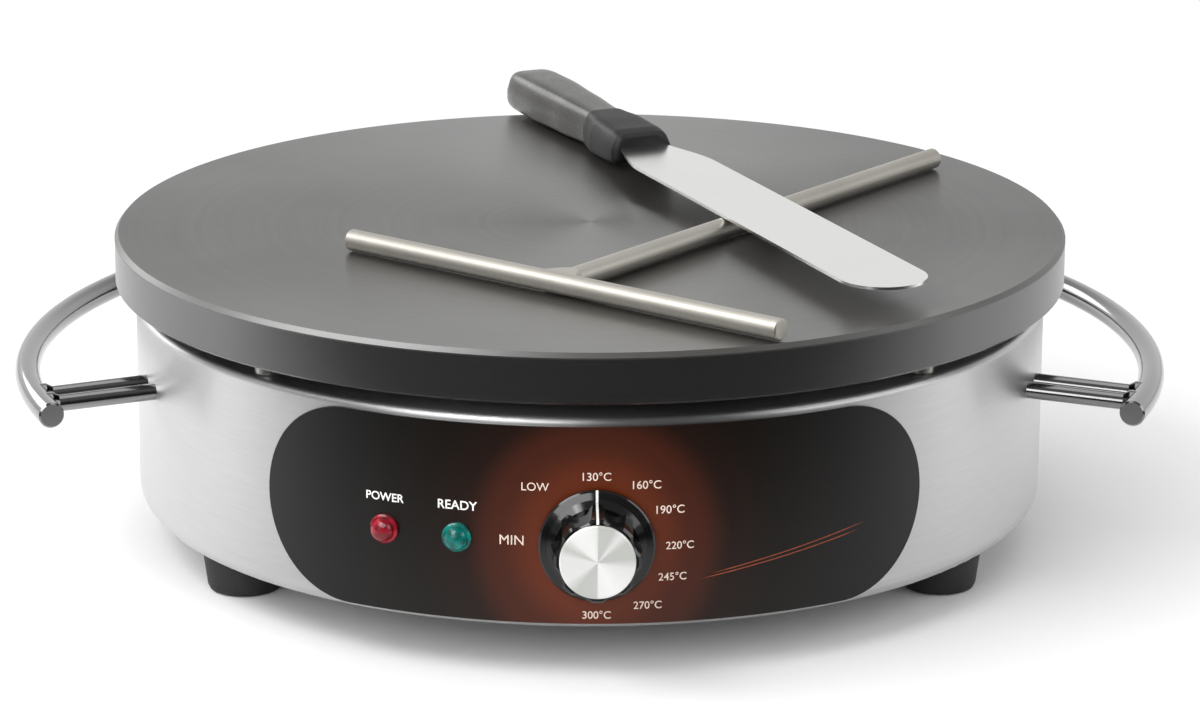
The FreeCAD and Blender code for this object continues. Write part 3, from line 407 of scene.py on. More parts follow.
@dataclass(frozen=True)
class SpunDisc(Finish):
    """Aluminium disc spun against an abrasive: fine rings, with pale and dim wedges of painted reflection in
    the colour for the light that the rings gather.

    Attributes:
        centre: A point on the disc's axis, in metres.
        draw_out: How far reflections are drawn out across the rings.
    """

    centre: tuple[float, float, float] = (0.0, 0.0, 0.0557)
    draw_out: float = 0.7

    def dress(self, tree: bpy.types.NodeTree, shader: bpy.types.Node, place: bpy.types.NodeSocket) -> None:
        """Paint pale and dim reflection wedges into the colour round the disc's centre, and ring the surface.

        Args:
            tree: Node tree.
            shader: Surface shader.
            place: Object coordinates in metres.
        """
        around = add_node(tree, "ShaderNodeVectorMath", {0: place, 1: self.centre}, operation="SUBTRACT")
        axes = add_node(tree, "ShaderNodeSeparateXYZ", {"Vector": around.outputs["Vector"]})
        angle = add_node(tree, "ShaderNodeMath", {0: axes.outputs["Z"], 1: axes.outputs["X"]},
                         operation="ARCTAN2")
        turn = add_node(tree, "ShaderNodeMapRange", {"Value": angle.outputs[0], "From Min": -math.pi,
                                                     "From Max": math.pi, "To Min": 0.0, "To Max": 1.0})
        # Painted reflection: the base colour turns pale and dim in wedges round the centre, for the light
        # that the spun rings gather
        painted_reflection_fan = add_node(tree, "ShaderNodeValToRGB", {"Fac": turn.outputs["Result"]})
        set_ramp(painted_reflection_fan, [(share, self.colour if painted_bright else self.shade) for share, painted_bright in PAINTED_REFLECTION_WEDGES])
        tree.links.new(painted_reflection_fan.outputs["Color"], shader.inputs["Base Color"])
        flat = add_node(tree, "ShaderNodeCombineXYZ", {"X": axes.outputs["X"], "Z": axes.outputs["Z"]})
        radius = add_node(tree, "ShaderNodeVectorMath", {0: flat.outputs["Vector"]}, operation="LENGTH")
        rings = add_node(tree, "ShaderNodeTexNoise",
                         {"W": radius.outputs["Value"], "Scale": MM_IN_METRE / self.grain_mm, "Detail": 3.0},
                         noise_dimensions="1D")
        self.vary_gloss(tree, shader, rings.outputs["Fac"])
        self.raise_grain(tree, shader, rings.outputs["Fac"], self.bump_mm)
        self.draw_out_round(tree, shader, "Y", self.draw_out)


@dataclass(frozen=True)
class TintedLens(Finish):
    """Dyed polycarbonate lens: deep colour, some light let through, moulded prisms inside.

    Attributes:
        transmission: Share of the light that goes through.
        haze_mm: Size of the fine haze on the outer face.
    """

    transmission: float = 0.2
    haze_mm: float = 0.7

    def dress(self, tree: bpy.types.NodeTree, shader: bpy.types.Node, place: bpy.types.NodeSocket) -> None:
        """Facet the lens with small cells.

        Args:
            tree: Node tree.
            shader: Surface shader.
            place: Object coordinates in metres.
        """
        cells = add_node(tree, "ShaderNodeTexVoronoi",
                         {"Vector": place, "Scale": MM_IN_METRE / self.grain_mm}, feature="SMOOTH_F1")
        self.tint(tree, shader, cells.outputs["Distance"])
        shader.inputs["Transmission Weight"].default_value = self.transmission
        fine = self.grain(tree, place, self.haze_mm)
        self.vary_gloss(tree, shader, fine)
        self.raise_grain(tree, shader, cells.outputs["Distance"], self.bump_mm)


@dataclass(frozen=True)
class PanelFilm(Finish):
    """Reverse-printed polyester film: black that warms to burnt orange round the dial.

    Attributes:
        centre: Middle of the glow, as X and Z in metres.
        glow_reach: Distance from the middle at which the glow has died away, in metres.
        height_share: What a step up counts for, where a step across counts for one.
        glow: Colours of the print from the middle outwards.
    """

    centre: tuple[float, float] = (0.0, 0.0557)
    glow_reach: float = 0.11
    height_share: float = 0.92
    glow: tuple[tuple[float, str], ...] = ((0.0, "#64260a"), (0.2, "#602508"), (0.36, "#411705"),
                                           (0.5, "#1a0902"), (0.66, "#0d0602"), (1.0, "#050404"))

    def dress(self, tree: bpy.types.NodeTree, shader: bpy.types.Node, place: bpy.types.NodeSocket) -> None:
        """Print the glow by the distance from the dial.

        Args:
            tree: Node tree.
            shader: Surface shader.
            place: Object coordinates in metres.
        """
        axes = add_node(tree, "ShaderNodeSeparateXYZ", {"Vector": place})
        across = add_node(tree, "ShaderNodeMath", {0: axes.outputs["X"], 1: self.centre[0]},
                          operation="SUBTRACT")
        up = add_node(tree, "ShaderNodeMath", {0: axes.outputs["Z"], 1: self.centre[1]}, operation="SUBTRACT")
        squashed = add_node(tree, "ShaderNodeMath", {0: up.outputs[0], 1: self.height_share},
                            operation="MULTIPLY")
        flat = add_node(tree, "ShaderNodeCombineXYZ", {"X": across.outputs[0], "Y": squashed.outputs[0]})
        reach = add_node(tree, "ShaderNodeVectorMath", {0: flat.outputs["Vector"]}, operation="LENGTH")
        share = add_node(tree, "ShaderNodeMath", {0: reach.outputs["Value"], 1: self.glow_reach},
                         operation="DIVIDE")
        ramp = add_node(tree, "ShaderNodeValToRGB", {"Fac": share.outputs[0]})
        ramp.color_ramp.interpolation = "EASE"
        set_ramp(ramp, self.glow)
        tree.links.new(ramp.outputs["Color"], shader.inputs["Base Color"])
        fine = self.grain(tree, place, self.grain_mm)
        self.vary_gloss(tree, shader, fine)
        self.raise_grain(tree, shader, fine, self.bump_mm)


@dataclass(frozen=True)
class StudioFloor(Finish):
    """Matte white sweep that takes a soft shadow, and that reflections see darker towards the lens.

    Attributes:
        dark_to_y: Where the dark front of the studio ends, in metres.
        white_from_y: Where the sweep is fully lit in reflections.
        dark_share: Brightness of the dark front as a share of white.
        fades_from: Distance from the object's axis at which the floor starts to pass into the white backdrop.
        fades_by: Distance at which only the backdrop is seen.
    """

    dark_to_y: float = -0.42
    white_from_y: float = -0.08
    dark_share: float = 0.03
    fades_from: float = 0.45
    fades_by: float = 0.8

    def build(self) -> bpy.types.Material:
        """Make the floor material.

        Returns:
            A diffuse white, which reflections see fade to dark towards the lens, and which the camera sees
            pass into the backdrop.
        """
        material = bpy.data.materials.new(self.name)
        material.use_nodes = True
        tree = material.node_tree
        tree.nodes.clear()
        output = add_node(tree, "ShaderNodeOutputMaterial")
        place = add_node(tree, "ShaderNodeTexCoord").outputs["Object"]
        speck = self.grain(tree, place, self.grain_mm)
        ramp = add_node(tree, "ShaderNodeValToRGB", {"Fac": speck})
        set_ramp(ramp, [(NOISE_LOW, self.shade), (NOISE_HIGH, self.colour)])
        axes = add_node(tree, "ShaderNodeSeparateXYZ", {"Vector": place})
        depth = add_node(tree, "ShaderNodeMapRange",
                         {"Value": axes.outputs["Y"], "From Min": self.dark_to_y,
                          "From Max": self.white_from_y, "To Min": self.dark_share, "To Max": 1.0})
        seen = add_node(tree, "ShaderNodeLightPath")
        share = add_node(tree, "ShaderNodeMix", {"Factor": seen.outputs["Is Glossy Ray"], "A": 1.0,
                                                 "B": depth.outputs["Result"]})
        tone = add_node(tree, "ShaderNodeVectorMath",
                        {0: ramp.outputs["Color"], "Scale": share.outputs["Result"]}, operation="SCALE")
        diffuse = add_node(tree, "ShaderNodeBsdfDiffuse", {"Color": tone.outputs["Vector"]})
        away = add_node(tree, "ShaderNodeVectorMath", {0: place}, operation="LENGTH")
        far = add_node(tree, "ShaderNodeMapRange",
                       {"Value": away.outputs["Value"], "From Min": self.fades_from,
                        "From Max": self.fades_by})
        to_lens = add_node(tree, "ShaderNodeMath",
                           {0: far.outputs["Result"], 1: seen.outputs["Is Camera Ray"]}, operation="MULTIPLY")
        backdrop = add_node(tree, "ShaderNodeEmission", {"Color": (1, 1, 1, 1), "Strength": 1.0})
        surface = add_node(tree, "ShaderNodeMixShader",
                           {0: to_lens.outputs["Value"], 1: diffuse.outputs["BSDF"],
                            2: backdrop.outputs["Emission"]})
        tree.links.new(surface.outputs["Shader"], output.inputs["Surface"])
        return material


# Cast iron, faced on a lathe and seasoned: a warm grey sheen that dims to the sides, with faint rings
CAST_IRON = TurnedCast("seasoned_cast_iron", "#33312f", "#2b2a28", 0.3, 0.03, 0.0, 2.1, 0.9, 0.005)
# Stainless sheet, drawn and belt brushed: level streaks, with highlights drawn out up and down
DRUM_STEEL = BrushedSteel("brushed_stainless_drum", "#cdcdcd", "#c5c5c5", 0.36, 0.03, 1.0, bump_mm=0.0015,
                          draw_out=0.75)
# Stainless rod, bent and polished: sharp bright and dark bands run along it
ROD_STEEL = Finish("polished_stainless_rod", "#969696", "#8e8e8e", 0.13, 0.02, 1.0, grain_mm=4.0,
                   bump_mm=0.0005)
# Stainless rod with a tumbled face: one broad, slightly warm highlight
RAKE_STEEL = Finish("satin_stainless_rod", "#c2bfb7", "#b8b4ac", 0.47, 0.03, 1.0, grain_mm=4.0,
                    bump_mm=0.0008)
# Spring steel strip, ground along its length: an even sheen that is nearly white
BLADE_STEEL = BrushedSteel("ground_spring_steel_blade", "#e3e3e1", "#dcdcda", 0.22, 0.02, 1.0,
                           bump_mm=0.0004, brushing=Brushing.ALONG_THE_BLADE, turn=math.radians(67.6))
# Steel fasteners and brackets, plated with bright zinc: pale, with slight clouds
ZINC = Finish("bright_zinc_plate", "#b5b5b0", "#8f8f8b", 0.34, 0.08, 1.0, grain_mm=1.2, bump_mm=0.004)
# Steel sheet dipped in aluminium and rolled: a soft, even grey sheen
ALUMINISED = Finish("aluminised_sheet", "#c4c4c2", "#9d9d9b", 0.42, 0.1, 1.0, grain_mm=2.5, bump_mm=0.004)
# Steel sheath of an element, tinted by heat: a brown grey with hardly any shine
ELEMENT = Finish("heat_tinted_sheath", "#6b6259", "#3c3733", 0.45, 0.1, 1.0, grain_mm=1.5, bump_mm=0.006)
# Ceramic fibre, matted to a blanket: a soft white without shine
FIBRE = Finish("matted_ceramic_fibre", "#dcd8cc", "#b9b4a4", 0.95, 0.04, 0.0, 1.5, 1.1, 0.5)
# Rubber, moulded: near black with a dry haze
RUBBER = Finish("moulded_black_rubber", "#1f1f20", "#161617", 0.62, 0.08, 0.0, 1.52, 0.7, 0.03)
# Polyester film, printed on its back: black with a warm glow, under a soft gloss
FILM = PanelFilm("printed_polyester_film", "#0a0a0a", "#0a0a0a", 0.3, 0.015, 0.0, 1.47, 0.9, 0.0002)
# Phenolic, moulded and glossy: black that mirrors the room in small bright shapes
KNOB_PLASTIC = Finish("glossy_phenolic_black", "#0c0c0d", "#080808", 0.12, 0.03, 0.0, 1.6, 2.2, 0.006, 0.2)
# Aluminium disc, spun and lacquered: pale and dim wedges of painted reflection that fan out from its middle
DISC = SpunDisc("spun_aluminium", "#f0f0ee", "#cccec9", 0.45, 0.04, 0.4, 1.45, 0.35, 0.001)
# Polycarbonate, dyed and moulded with prisms: a deep colour with small glints
RED_LENS = TintedLens("red_dyed_polycarbonate", "#b0182e", "#740e1b", 0.16, 0.03, 0.0, 1.58, 3.2, 0.02)
GREEN_LENS = TintedLens("green_dyed_polycarbonate", "#058c83", "#035b55", 0.16, 0.03, 0.0, 1.58, 3.2, 0.02)
# Screen ink, cured: flat and opaque, with crisp edges
INK = Finish("screen_ink_cream", "#e6d3c6", "#d9c4b5", 0.5, 0.05, 0.0, 1.5, 0.4, 0.004)
WHITE_INK = Finish("screen_ink_white", "#efefed", "#e2e2e0", 0.5, 0.05, 0.0, 1.5, 0.4, 0.004)
ORANGE_INK = Finish("screen_ink_orange", "#8f3f1c", "#7a3316", 0.5, 0.05, 0.0, 1.5, 0.4, 0.004)
# Steatite, pressed and fired without a glaze: a chalky cream
CERAMIC = Finish("unglazed_steatite", "#d8d0ba", "#c3baa2", 0.7, 0.08, 0.0, 1.55, 0.9, 0.05)
# Brass, turned: a warm yellow, fairly bright
BRASS = Finish("turned_brass", "#b3924c", "#8d7035", 0.3, 0.06, 1.0, grain_mm=0.7, bump_mm=0.003)
# Copper, drawn to a fine tube: a soft red brown sheen
COPPER = Finish("drawn_copper", "#b77a58", "#93583b", 0.34, 0.07, 1.0, grain_mm=0.8, bump_mm=0.003)
# Nylon, moulded in white: a milky, half matte face
HOUSING = Finish("white_nylon", "#dedbd2", "#ccc8bd", 0.5, 0.06, 0.0, 1.53, 0.8, 0.02)
# Glass yarn, woven to a sleeve: dull and slightly rough, in a straw white
SLEEVE = Finish("woven_glass_sleeve", "#b8b1a0", "#8f8877", 0.85, 0.05, 0.0, 1.5, 0.6, 0.15)
# Nylon filled with glass and moulded in black: dark with a fine grainy sheen
NYLON = Finish("black_glass_filled_nylon", "#1c1c1d", "#131314", 0.5, 0.07, 0.0, 1.53, 0.7, 0.03)
# Polypropylene, moulded and rubbed smooth by hands: dark grey with a broad sheen
GRIP = Finish("satin_polypropylene_grip", "#3c3b38", "#353431", 0.3, 0.04, 0.0, 1.49, 1.2, 0.02)
# Polypropylene of the bolster, moulded over the blade: blacker and duller than the grip
BOLSTER = Finish("smooth_polypropylene_bolster", "#060607", "#050505", 0.5, 0.04, 0.0, 1.49, 1.2, 0.01)
# Paint on the studio's sweep: an even matte white that holds a soft shadow
FLOOR = StudioFloor("matte_white_sweep", "#f4f4f4", "#f0f0f0", 0.9)


class Shop:
    """Keeps each finish's material, so that pieces of one finish share it."""

    def __init__(self) -> None:
        """Start with no materials."""
        self.made: dict[str, bpy.types.Material] = {}

    def get(self, finish: Finish) -> bpy.types.Material:
        """Return the material of a finish, made on first use."""
        if finish.name not in self.made:
            self.made[finish.name] = finish.build()
        return self.made[finish.name]

    def coat(self, piece: bpy.types.Object, finish: Finish) -> None:
        """Give a piece one finish all over."""
        piece.data.materials.clear()
        piece.data.materials.append(self.get(finish))


def select_only(piece: bpy.types.Object) -> None:
    """Select one object and make it active."""
    bpy.ops.object.select_all(action="DESELECT")
    piece.select_set(True)
    bpy.context.view_layer.objects.active = piece


@dataclass
class SubAssembly:
    """A group of carried-over nodes and added pieces.

    Attributes:
        shop: Where finishes come from.
    """

    frame: dict[str, Any]
    shop: Shop

    def finishes(self) -> dict[str, Finish]:
        """Name the finish of each carried-over node."""
        return {}

    def add_pieces(self) -> None:
        """Add what the solids don't show."""

    def build(self) -> None:
        """Dress every node of the group, then add its pieces."""
        for node, finish in self.finishes().items():
            self.shop.coat(self.frame["nodes"][node], finish)
            LOG.info("%s: %s", node, finish.name)
        self.add_pieces()


@dataclass
class PlateGroup(SubAssembly):
    """Cooking plate, elements and the stack under them."""

    def finishes(self) -> dict[str, Finish]:
        """Name the finish of each node.

        Returns:
            Finish by node name.
        """
        zinc = ("element_terminals", "element_clamp", "clamp_studs", "clamp_nuts", "stud_spacers",
                "shield_nuts", "plate_standoffs", "plate_screws", "bulb_clips")
        return {"cooking_plate": CAST_IRON, "heating_element_outer": ELEMENT,
                "heating_element_inner": ELEMENT, "heat_reflector": ALUMINISED, "heat_shield": ALUMINISED,
                "insulation_blanket": FIBRE, "capillary_tube": COPPER, "sensing_bulb": COPPER,
                **dict.fromkeys(zinc, ZINC)}


@dataclass
class DrumGroup(SubAssembly):
    """Drum, base, feet, handles and inlet."""

    def finishes(self) -> dict[str, Finish]:
        """Name the finish of each node.

        Returns:
            Finish by node name.
        """
        zinc = ("base_plate", "base_screws", "foot_washers", "foot_screws", "foot_nuts", "handle_pads",
                "handle_nuts")
        feet = ("foot_front_left", "foot_front_right", "foot_rear")
        rods = ("handle_left_bar", "handle_right_bar", "handle_left_posts", "handle_right_posts")
        inlet = ("cable_gland", "gland_cap", "gland_locknut")
        return {"body_shell": DRUM_STEEL, **dict.fromkeys(zinc, ZINC), **dict.fromkeys(feet, RUBBER),
                **dict.fromkeys(rods, ROD_STEEL), **dict.fromkeys(inlet, NYLON)}


@dataclass(frozen=True)
class Label:
    """One printed word or number on the panel.

    Attributes:
        text: What it says.
        arc_mm: Centre along the panel from the dial's axis, to the right.
        rise_mm: Centre above the dial's axis.
        width_mm: Printed width.
        bold_mm: How far the strokes are thickened.
        finish: Ink.
    """

    text: str
    arc_mm: float
    rise_mm: float
    width_mm: float
    bold_mm: float = 0.02
    finish: Finish = INK


LABELS = {
    "label_min": Label("MIN", -33.7, 1.0, 9.6, 0.0),
    "label_low": Label("LOW", -24.3, 23.4, 10.9, 0.0),
    "label_130": Label("130°C", 0.0, 28.0, 11.2),
    "label_160": Label("160°C", 19.7, 24.4, 11.2),
    "label_190": Label("190°C", 29.1, 13.9, 11.2),
    "label_220": Label("220°C", 33.0, -1.1, 11.2),
    "label_245": Label("245°C", 30.1, -14.0, 11.2),
    "label_270": Label("270°C", 20.2, -25.5, 11.2),
    "label_300": Label("300°C", 0.0, -29.3, 11.2),
    "label_power": Label("POWER", -86.5, 13.9, 16.6, 0.05, WHITE_INK),
    "label_ready": Label("READY", -55.6, 13.9, 16.2, 0.05, WHITE_INK),
}


@dataclass
class ControlGroup(SubAssembly):
    """Panel film and its print, knob, lamps and the parts behind them.

    Attributes:
        film_r: Outer radius of the panel film in metres.
        dial_z: Height of the dial's axis in metres.
        ink_t: Thickness of the print in metres.
        ink_gap: How far the back of the print stands off the film in metres, so that the faces stay apart.
        letter: Size of the type in metres.
        curve_steps: Straight pieces in each curve of a letter.
        rules: Ends of the two printed rules, as (arc, rise) pairs in millimetres from the dial's axis.
        rule_half: Half the width of a rule in metres.
        rule_steps: Straight pieces in a rule, so that it can bend round the drum.
        rule_point: Each end draws to a point over one part in this many of a rule's length.
        rule_tip: Width left at a rule's far end, as a share of its width.
        knob_back_y: Y of the knob's back face in millimetres.
        pointer_route: The pointer's bends, each as its distance from the knob's axis and its distance in
            front of the knob's back face, in millimetres.
        pointer_half: Half the width of the pointer line in millimetres.
        pointer_t: Thickness of the pointer line in metres.
    """

    film_r: float = 195.6 * MM
    dial_z: float = 55.7 * MM
    ink_t: float = 0.08 * MM
    ink_gap: float = 0.01 * MM
    letter: float = 4.4 * MM
    curve_steps: int = 6
    rules: dict[str, tuple[float, float, float, float]] = field(default_factory=lambda: {
        "rule_lower": (40.5, -16.0, 111.0, -4.0), "rule_upper": (46.0, -13.9, 114.0, -1.2)})
    rule_half: float = 0.22 * MM
    rule_steps: int = 24
    rule_point: int = 8
    rule_tip: float = 0.1
    knob_back_y: float = -196.1
    pointer_route: tuple[tuple[float, float], ...] = ((15.4, 21.46), (16.1, 21.46), (17.24, 20.36),
                                                      (18.62, 4.15), (19.9, 3.86), (22.35, 2.58),
                                                      (23.06, 1.75))
    pointer_half: float = 0.5
    pointer_t: float = 0.12 * MM

    def finishes(self) -> dict[str, Finish]:
        """Name the finish of each node.

        Returns:
            Finish by node name.
        """
        zinc = ("thermostat_shaft", "thermostat_bracket", "lamp_nuts")
        stone = ("thermostat_body", "limit_thermostat", "terminal_block")
        return {"control_panel": FILM, "thermostat_knob": KNOB_PLASTIC, "knob_cap": DISC,
                "power_lamp_lens": RED_LENS, "ready_lamp_lens": GREEN_LENS, "lamp_bodies": HOUSING,
                "bushing_nut": BRASS, "earth_stud": BRASS, "earth_nut": BRASS, "internal_wires": SLEEVE,
                **dict.fromkeys(zinc, ZINC), **dict.fromkeys(stone, CERAMIC)}

    def wrap(self, piece: bpy.types.Object, base_r: float) -> None:
        """Bend a flat print, drawn in X and Y in metres, round the drum.

        Args:
            piece: Mesh whose Z is its thickness.
            base_r: Radius of its back.
        """
        for vertex in piece.data.vertices:
            radius = base_r + vertex.co.z
            turn = vertex.co.x / self.film_r
            vertex.co = Vector((radius * math.sin(turn), -radius * math.cos(turn), self.dial_z + vertex.co.y))
        piece.data.update()

    def print_label(self, name: str, label: Label) -> None:
        """Print one label on the film.

        Args:
            name: Piece name.
            label: What to print and where.
        """
        bpy.ops.object.select_all(action="DESELECT")
        bpy.ops.object.text_add(location=(0, 0, 0))
        piece = bpy.context.object
        piece.name = name
        piece.data.body = label.text
        piece.data.align_x = "CENTER"
        piece.data.align_y = "CENTER"
        piece.data.size = self.letter
        piece.data.offset = label.bold_mm * MM
        piece.data.extrude = self.ink_t / 2
        piece.data.resolution_u = self.curve_steps
        bpy.ops.object.convert(target="MESH")
        xs = [vertex.co.x for vertex in piece.data.vertices]
        ys = [vertex.co.y for vertex in piece.data.vertices]
        stretch = label.width_mm * MM / (max(xs) - min(xs))
        middle = Vector(((max(xs) + min(xs)) / 2, (max(ys) + min(ys)) / 2, 0))
        shift = Vector((label.arc_mm * MM, label.rise_mm * MM, self.ink_t / 2))
        for vertex in piece.data.vertices:
            flat = vertex.co - middle
            vertex.co = Vector((flat.x * stretch, flat.y * stretch, flat.z)) + shift
        self.wrap(piece, self.film_r + self.ink_gap)
        self.finish_piece(piece, label.finish, "base", "panel_film")

    def print_rule(self, name: str, ends: tuple[float, float, float, float]) -> None:
        """Print one thin slanted rule.

        Args:
            name: Piece name.
            ends: Arc and rise of both ends in millimetres.
        """
        bpy.ops.object.select_all(action="DESELECT")
        bpy.ops.mesh.primitive_grid_add(x_subdivisions=self.rule_steps, y_subdivisions=1, size=1)
        piece = bpy.context.object
        piece.name = name
        x0, y0, x1, y1 = (value * MM for value in ends)
        for vertex in piece.data.vertices:
            share = vertex.co.x + 0.5
            taper = min(1.0, self.rule_point * share, self.rule_point * (1 - share) + self.rule_tip)
            rise = y0 + (y1 - y0) * share + math.copysign(self.rule_half * taper, vertex.co.y)
            vertex.co = Vector((x0 + (x1 - x0) * share, rise, self.ink_t / 2))
        solid = piece.modifiers.new("thickness", "SOLIDIFY")
        solid.thickness = self.ink_t / 2
        solid.offset = 0
        bpy.ops.object.modifier_apply(modifier=solid.name)
        self.wrap(piece, self.film_r + self.ink_gap)
        self.finish_piece(piece, ORANGE_INK, "base", "panel_film")

    def pointer(self) -> None:
        """Lay the white pointer line from the disc's edge, down the grip and across the skirt."""
        bpy.ops.object.select_all(action="DESELECT")
        bpy.ops.mesh.primitive_plane_add(size=1)
        piece = bpy.context.object
        piece.name = "pointer_line"
        bpy.ops.object.mode_set(mode="EDIT")
        bpy.ops.mesh.select_all(action="SELECT")
        bpy.ops.mesh.delete(type="ONLY_FACE")
        bpy.ops.object.mode_set(mode="OBJECT")
        for vertex in piece.data.vertices:
            vertex.select = vertex.co.y < 0
        bpy.ops.object.mode_set(mode="EDIT")
        bpy.ops.mesh.delete(type="VERT")
        bpy.ops.mesh.select_all(action="SELECT")
        for _ in self.pointer_route[1:]:
            bpy.ops.mesh.extrude_region_move(TRANSFORM_OT_translate={"value": (0, 1, 0)})
        bpy.ops.object.mode_set(mode="OBJECT")
        rows = sorted(piece.data.vertices, key=lambda vertex: (round(vertex.co.y, 3), vertex.co.x))
        for index, vertex in enumerate(rows):
            radius, depth = self.pointer_route[index // 2]
            side = -self.pointer_half if index % 2 == 0 else self.pointer_half
            vertex.co = Vector((side * MM, (self.knob_back_y - depth) * MM, self.dial_z + radius * MM))
        piece.data.update()
        solid = piece.modifiers.new("thickness", "SOLIDIFY")
        solid.thickness = self.pointer_t
        solid.offset = 0
        select_only(piece)
        bpy.ops.object.modifier_apply(modifier=solid.name)
        self.finish_piece(piece, WHITE_INK, "knob", "black_knob")

    def finish_piece(self, piece: bpy.types.Object, finish: Finish, body: str, slot: str) -> None:
        """Coat a piece, and put it on its body.

        Args:
            piece: The new piece.
            finish: Its finish.
            body: Body that carries it.
            slot: Record slot that it takes after; not used.
        """
        self.shop.coat(piece, finish)
        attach(piece, body)
        LOG.info("%s: %s", piece.name, finish.name)

    def add_pieces(self) -> None:
        """Print the labels and rules, and mark the knob."""
        for name, label in LABELS.items():
            self.print_label(name, label)
        for name, ends in self.rules.items():
            self.print_rule(name, ends)
        self.pointer()


@dataclass(frozen=True)
class Moulding:
    """One moulded plastic piece of the spatula, as sections along it.

    Attributes:
        name: Piece name.
        node: Solid that it stands for.
        slot: Record slot of its finish; not used.
        finish: Its finish.
        stations: Place along the handle, width and height of the listed sections, in millimetres.
        ends: Length in millimetres over which the first and the last end are rounded off.
        end_share: How much of the section is left at a rounded end.
        squareness: Nought for a box section and one for an oval.
        top_share: Width of the flat top as a share of the full width, as the sides lean in above the middle.
    """

    name: str
    node: str
    slot: str
    finish: Finish
    stations: tuple[tuple[float, float, float], ...]
    ends: tuple[float, float]
    end_share: float = 0.5
    squareness: float = 0.4
    top_share: float = 0.8

    def section(self, share: float) -> tuple[float, float, float]:
        """Give a section by its share of the way along.

        Args:
            share: Nought at the first station and one at the last.

        Returns:
            Place along the handle, half the width and half the height.
        """
        first, last = self.stations[0][0], self.stations[-1][0]
        place = first + (last - first) * share
        width, height = self.stations[-1][1:]
        for (x0, w0, h0), (x1, w1, h1) in zip(self.stations, self.stations[1:]):
            if x0 <= place <= x1:
                part = (place - x0) / (x1 - x0)
                ease = part * part * (3 - 2 * part)
                width, height = w0 + (w1 - w0) * ease, h0 + (h1 - h0) * ease
        fade = 1.0
        for depth, length in ((place - first, self.ends[0]), (last - place, self.ends[1])):
            if length and depth < length:
                left = 1 - depth / length
                fade = min(fade, math.sqrt(max(1 - left * left * (1 - self.end_share ** 2), 0)))
        return place, width / 2 * fade, height / 2 * fade

    def outline(self, around: float) -> tuple[float, float]:
        """Give a point of the section, which is flat on top and widens from there down to its middle.

        Args:
            around: Angle round the section.

        Returns:
            Share of the half width and of the half height.
        """
        across = math.copysign(abs(math.cos(around)) ** self.squareness, math.cos(around))
        up = math.copysign(abs(math.sin(around)) ** self.squareness, math.sin(around))
        lean = 1 - (1 - self.top_share) * max(up, 0)
        return across * lean, up


MOULDINGS = (
    Moulding("moulded_grip", "spatula_handle", "grip_plastic", GRIP,
             ((-212.9, 24.0, 16.5), (-196.0, 26.4, 18.4), (-178.0, 26.8, 18.8), (-150.0, 24.0, 18.0),
              (-119.6, 20.8, 16.6)), (8.0, 0.0)),
    Moulding("moulded_bolster", "spatula_bolster", "bolster_plastic", BOLSTER,
             ((-120.0, 21.0, 16.9), (-116.0, 22.6, 17.0), (-104.0, 27.6, 17.0), (-84.0, 29.0, 15.6),
              (-75.7, 28.6, 13.2)), (1.2, 2.4), 0.8, 0.3),
)


@dataclass
class ToolGroup(SubAssembly):
    """Rake spreader and spatula.

    Attributes:
        turn: Turn of the spatula about Z in radians.
        offset: Distance of the spatula's middle line from the object's axis in metres.
        middle_z: Height of the handle's middle in metres.
        rows: Sections along a moulded piece.
        around: Points round each section.
        merge: Points nearer than this, in metres, become one where the sweep closes.
        sharp_from: Angle between faces in radians above which an edge stays sharp.
    """

    turn: float = math.radians(-67.6)
    offset: float = 58.3 * MM
    middle_z: float = 146.1 * MM
    rows: int = 44
    around: int = 72
    merge: float = 0.02 * MM
    sharp_from: float = math.radians(40)

    def finishes(self) -> dict[str, Finish]:
        """Name the finish of each node.

        Returns:
            Finish by node name.
        """
        return {"spreader_bar": RAKE_STEEL, "spreader_stem": RAKE_STEEL, "spatula_blade": BLADE_STEEL,
                "spatula_handle": GRIP, "spatula_bolster": BOLSTER}

    def mould(self, shape: Moulding) -> None:
        """Sweep a moulded piece through its sections, close its ends and lay it on the tool.

        Args:
            shape: What to make.
        """
        bpy.ops.object.select_all(action="DESELECT")
        bpy.ops.mesh.primitive_grid_add(x_subdivisions=self.rows, y_subdivisions=self.around, size=1)
        piece = bpy.context.object
        piece.name = shape.name
        lay = Matrix.Rotation(self.turn, 4, "Z")
        sideways = Vector((-math.sin(self.turn), math.cos(self.turn), 0))
        base = sideways * self.offset + Vector((0, 0, self.middle_z))
        for vertex in piece.data.vertices:
            station, half_w, half_h = shape.section(vertex.co.x + 0.5)
            around = 2 * math.pi * (vertex.co.y + 0.5)
            across, up = shape.outline(around)
            vertex.co = lay @ Vector((station * MM, across * half_w * MM, up * half_h * MM)) + base
        bpy.ops.object.mode_set(mode="EDIT")
        bpy.ops.mesh.select_all(action="SELECT")
        bpy.ops.mesh.remove_doubles(threshold=self.merge)
        bpy.ops.mesh.fill_holes(sides=0)
        bpy.ops.mesh.normals_make_consistent(inside=False)
        bpy.ops.object.mode_set(mode="OBJECT")
        bpy.ops.object.shade_smooth_by_angle(angle=self.sharp_from)
        self.shop.coat(piece, shape.finish)
        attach(piece, "spatula")
        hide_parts(shape.node)
        LOG.info("%s: %s", piece.name, shape.finish.name)

    def add_pieces(self) -> None:
        """Mould the grip and the bolster with their true edges."""
        for shape in MOULDINGS:
            self.mould(shape)


@dataclass(frozen=True)
class Softbox:
    """One soft light.

    Attributes:
        name: Light name.
        place: Where it hangs, in metres.
        aim: What it points at.
        size: Width and height in metres.
        power: Watts.
    """

    name: str
    place: tuple[float, float, float]
    aim: tuple[float, float, float]
    size: tuple[float, float]
    power: float


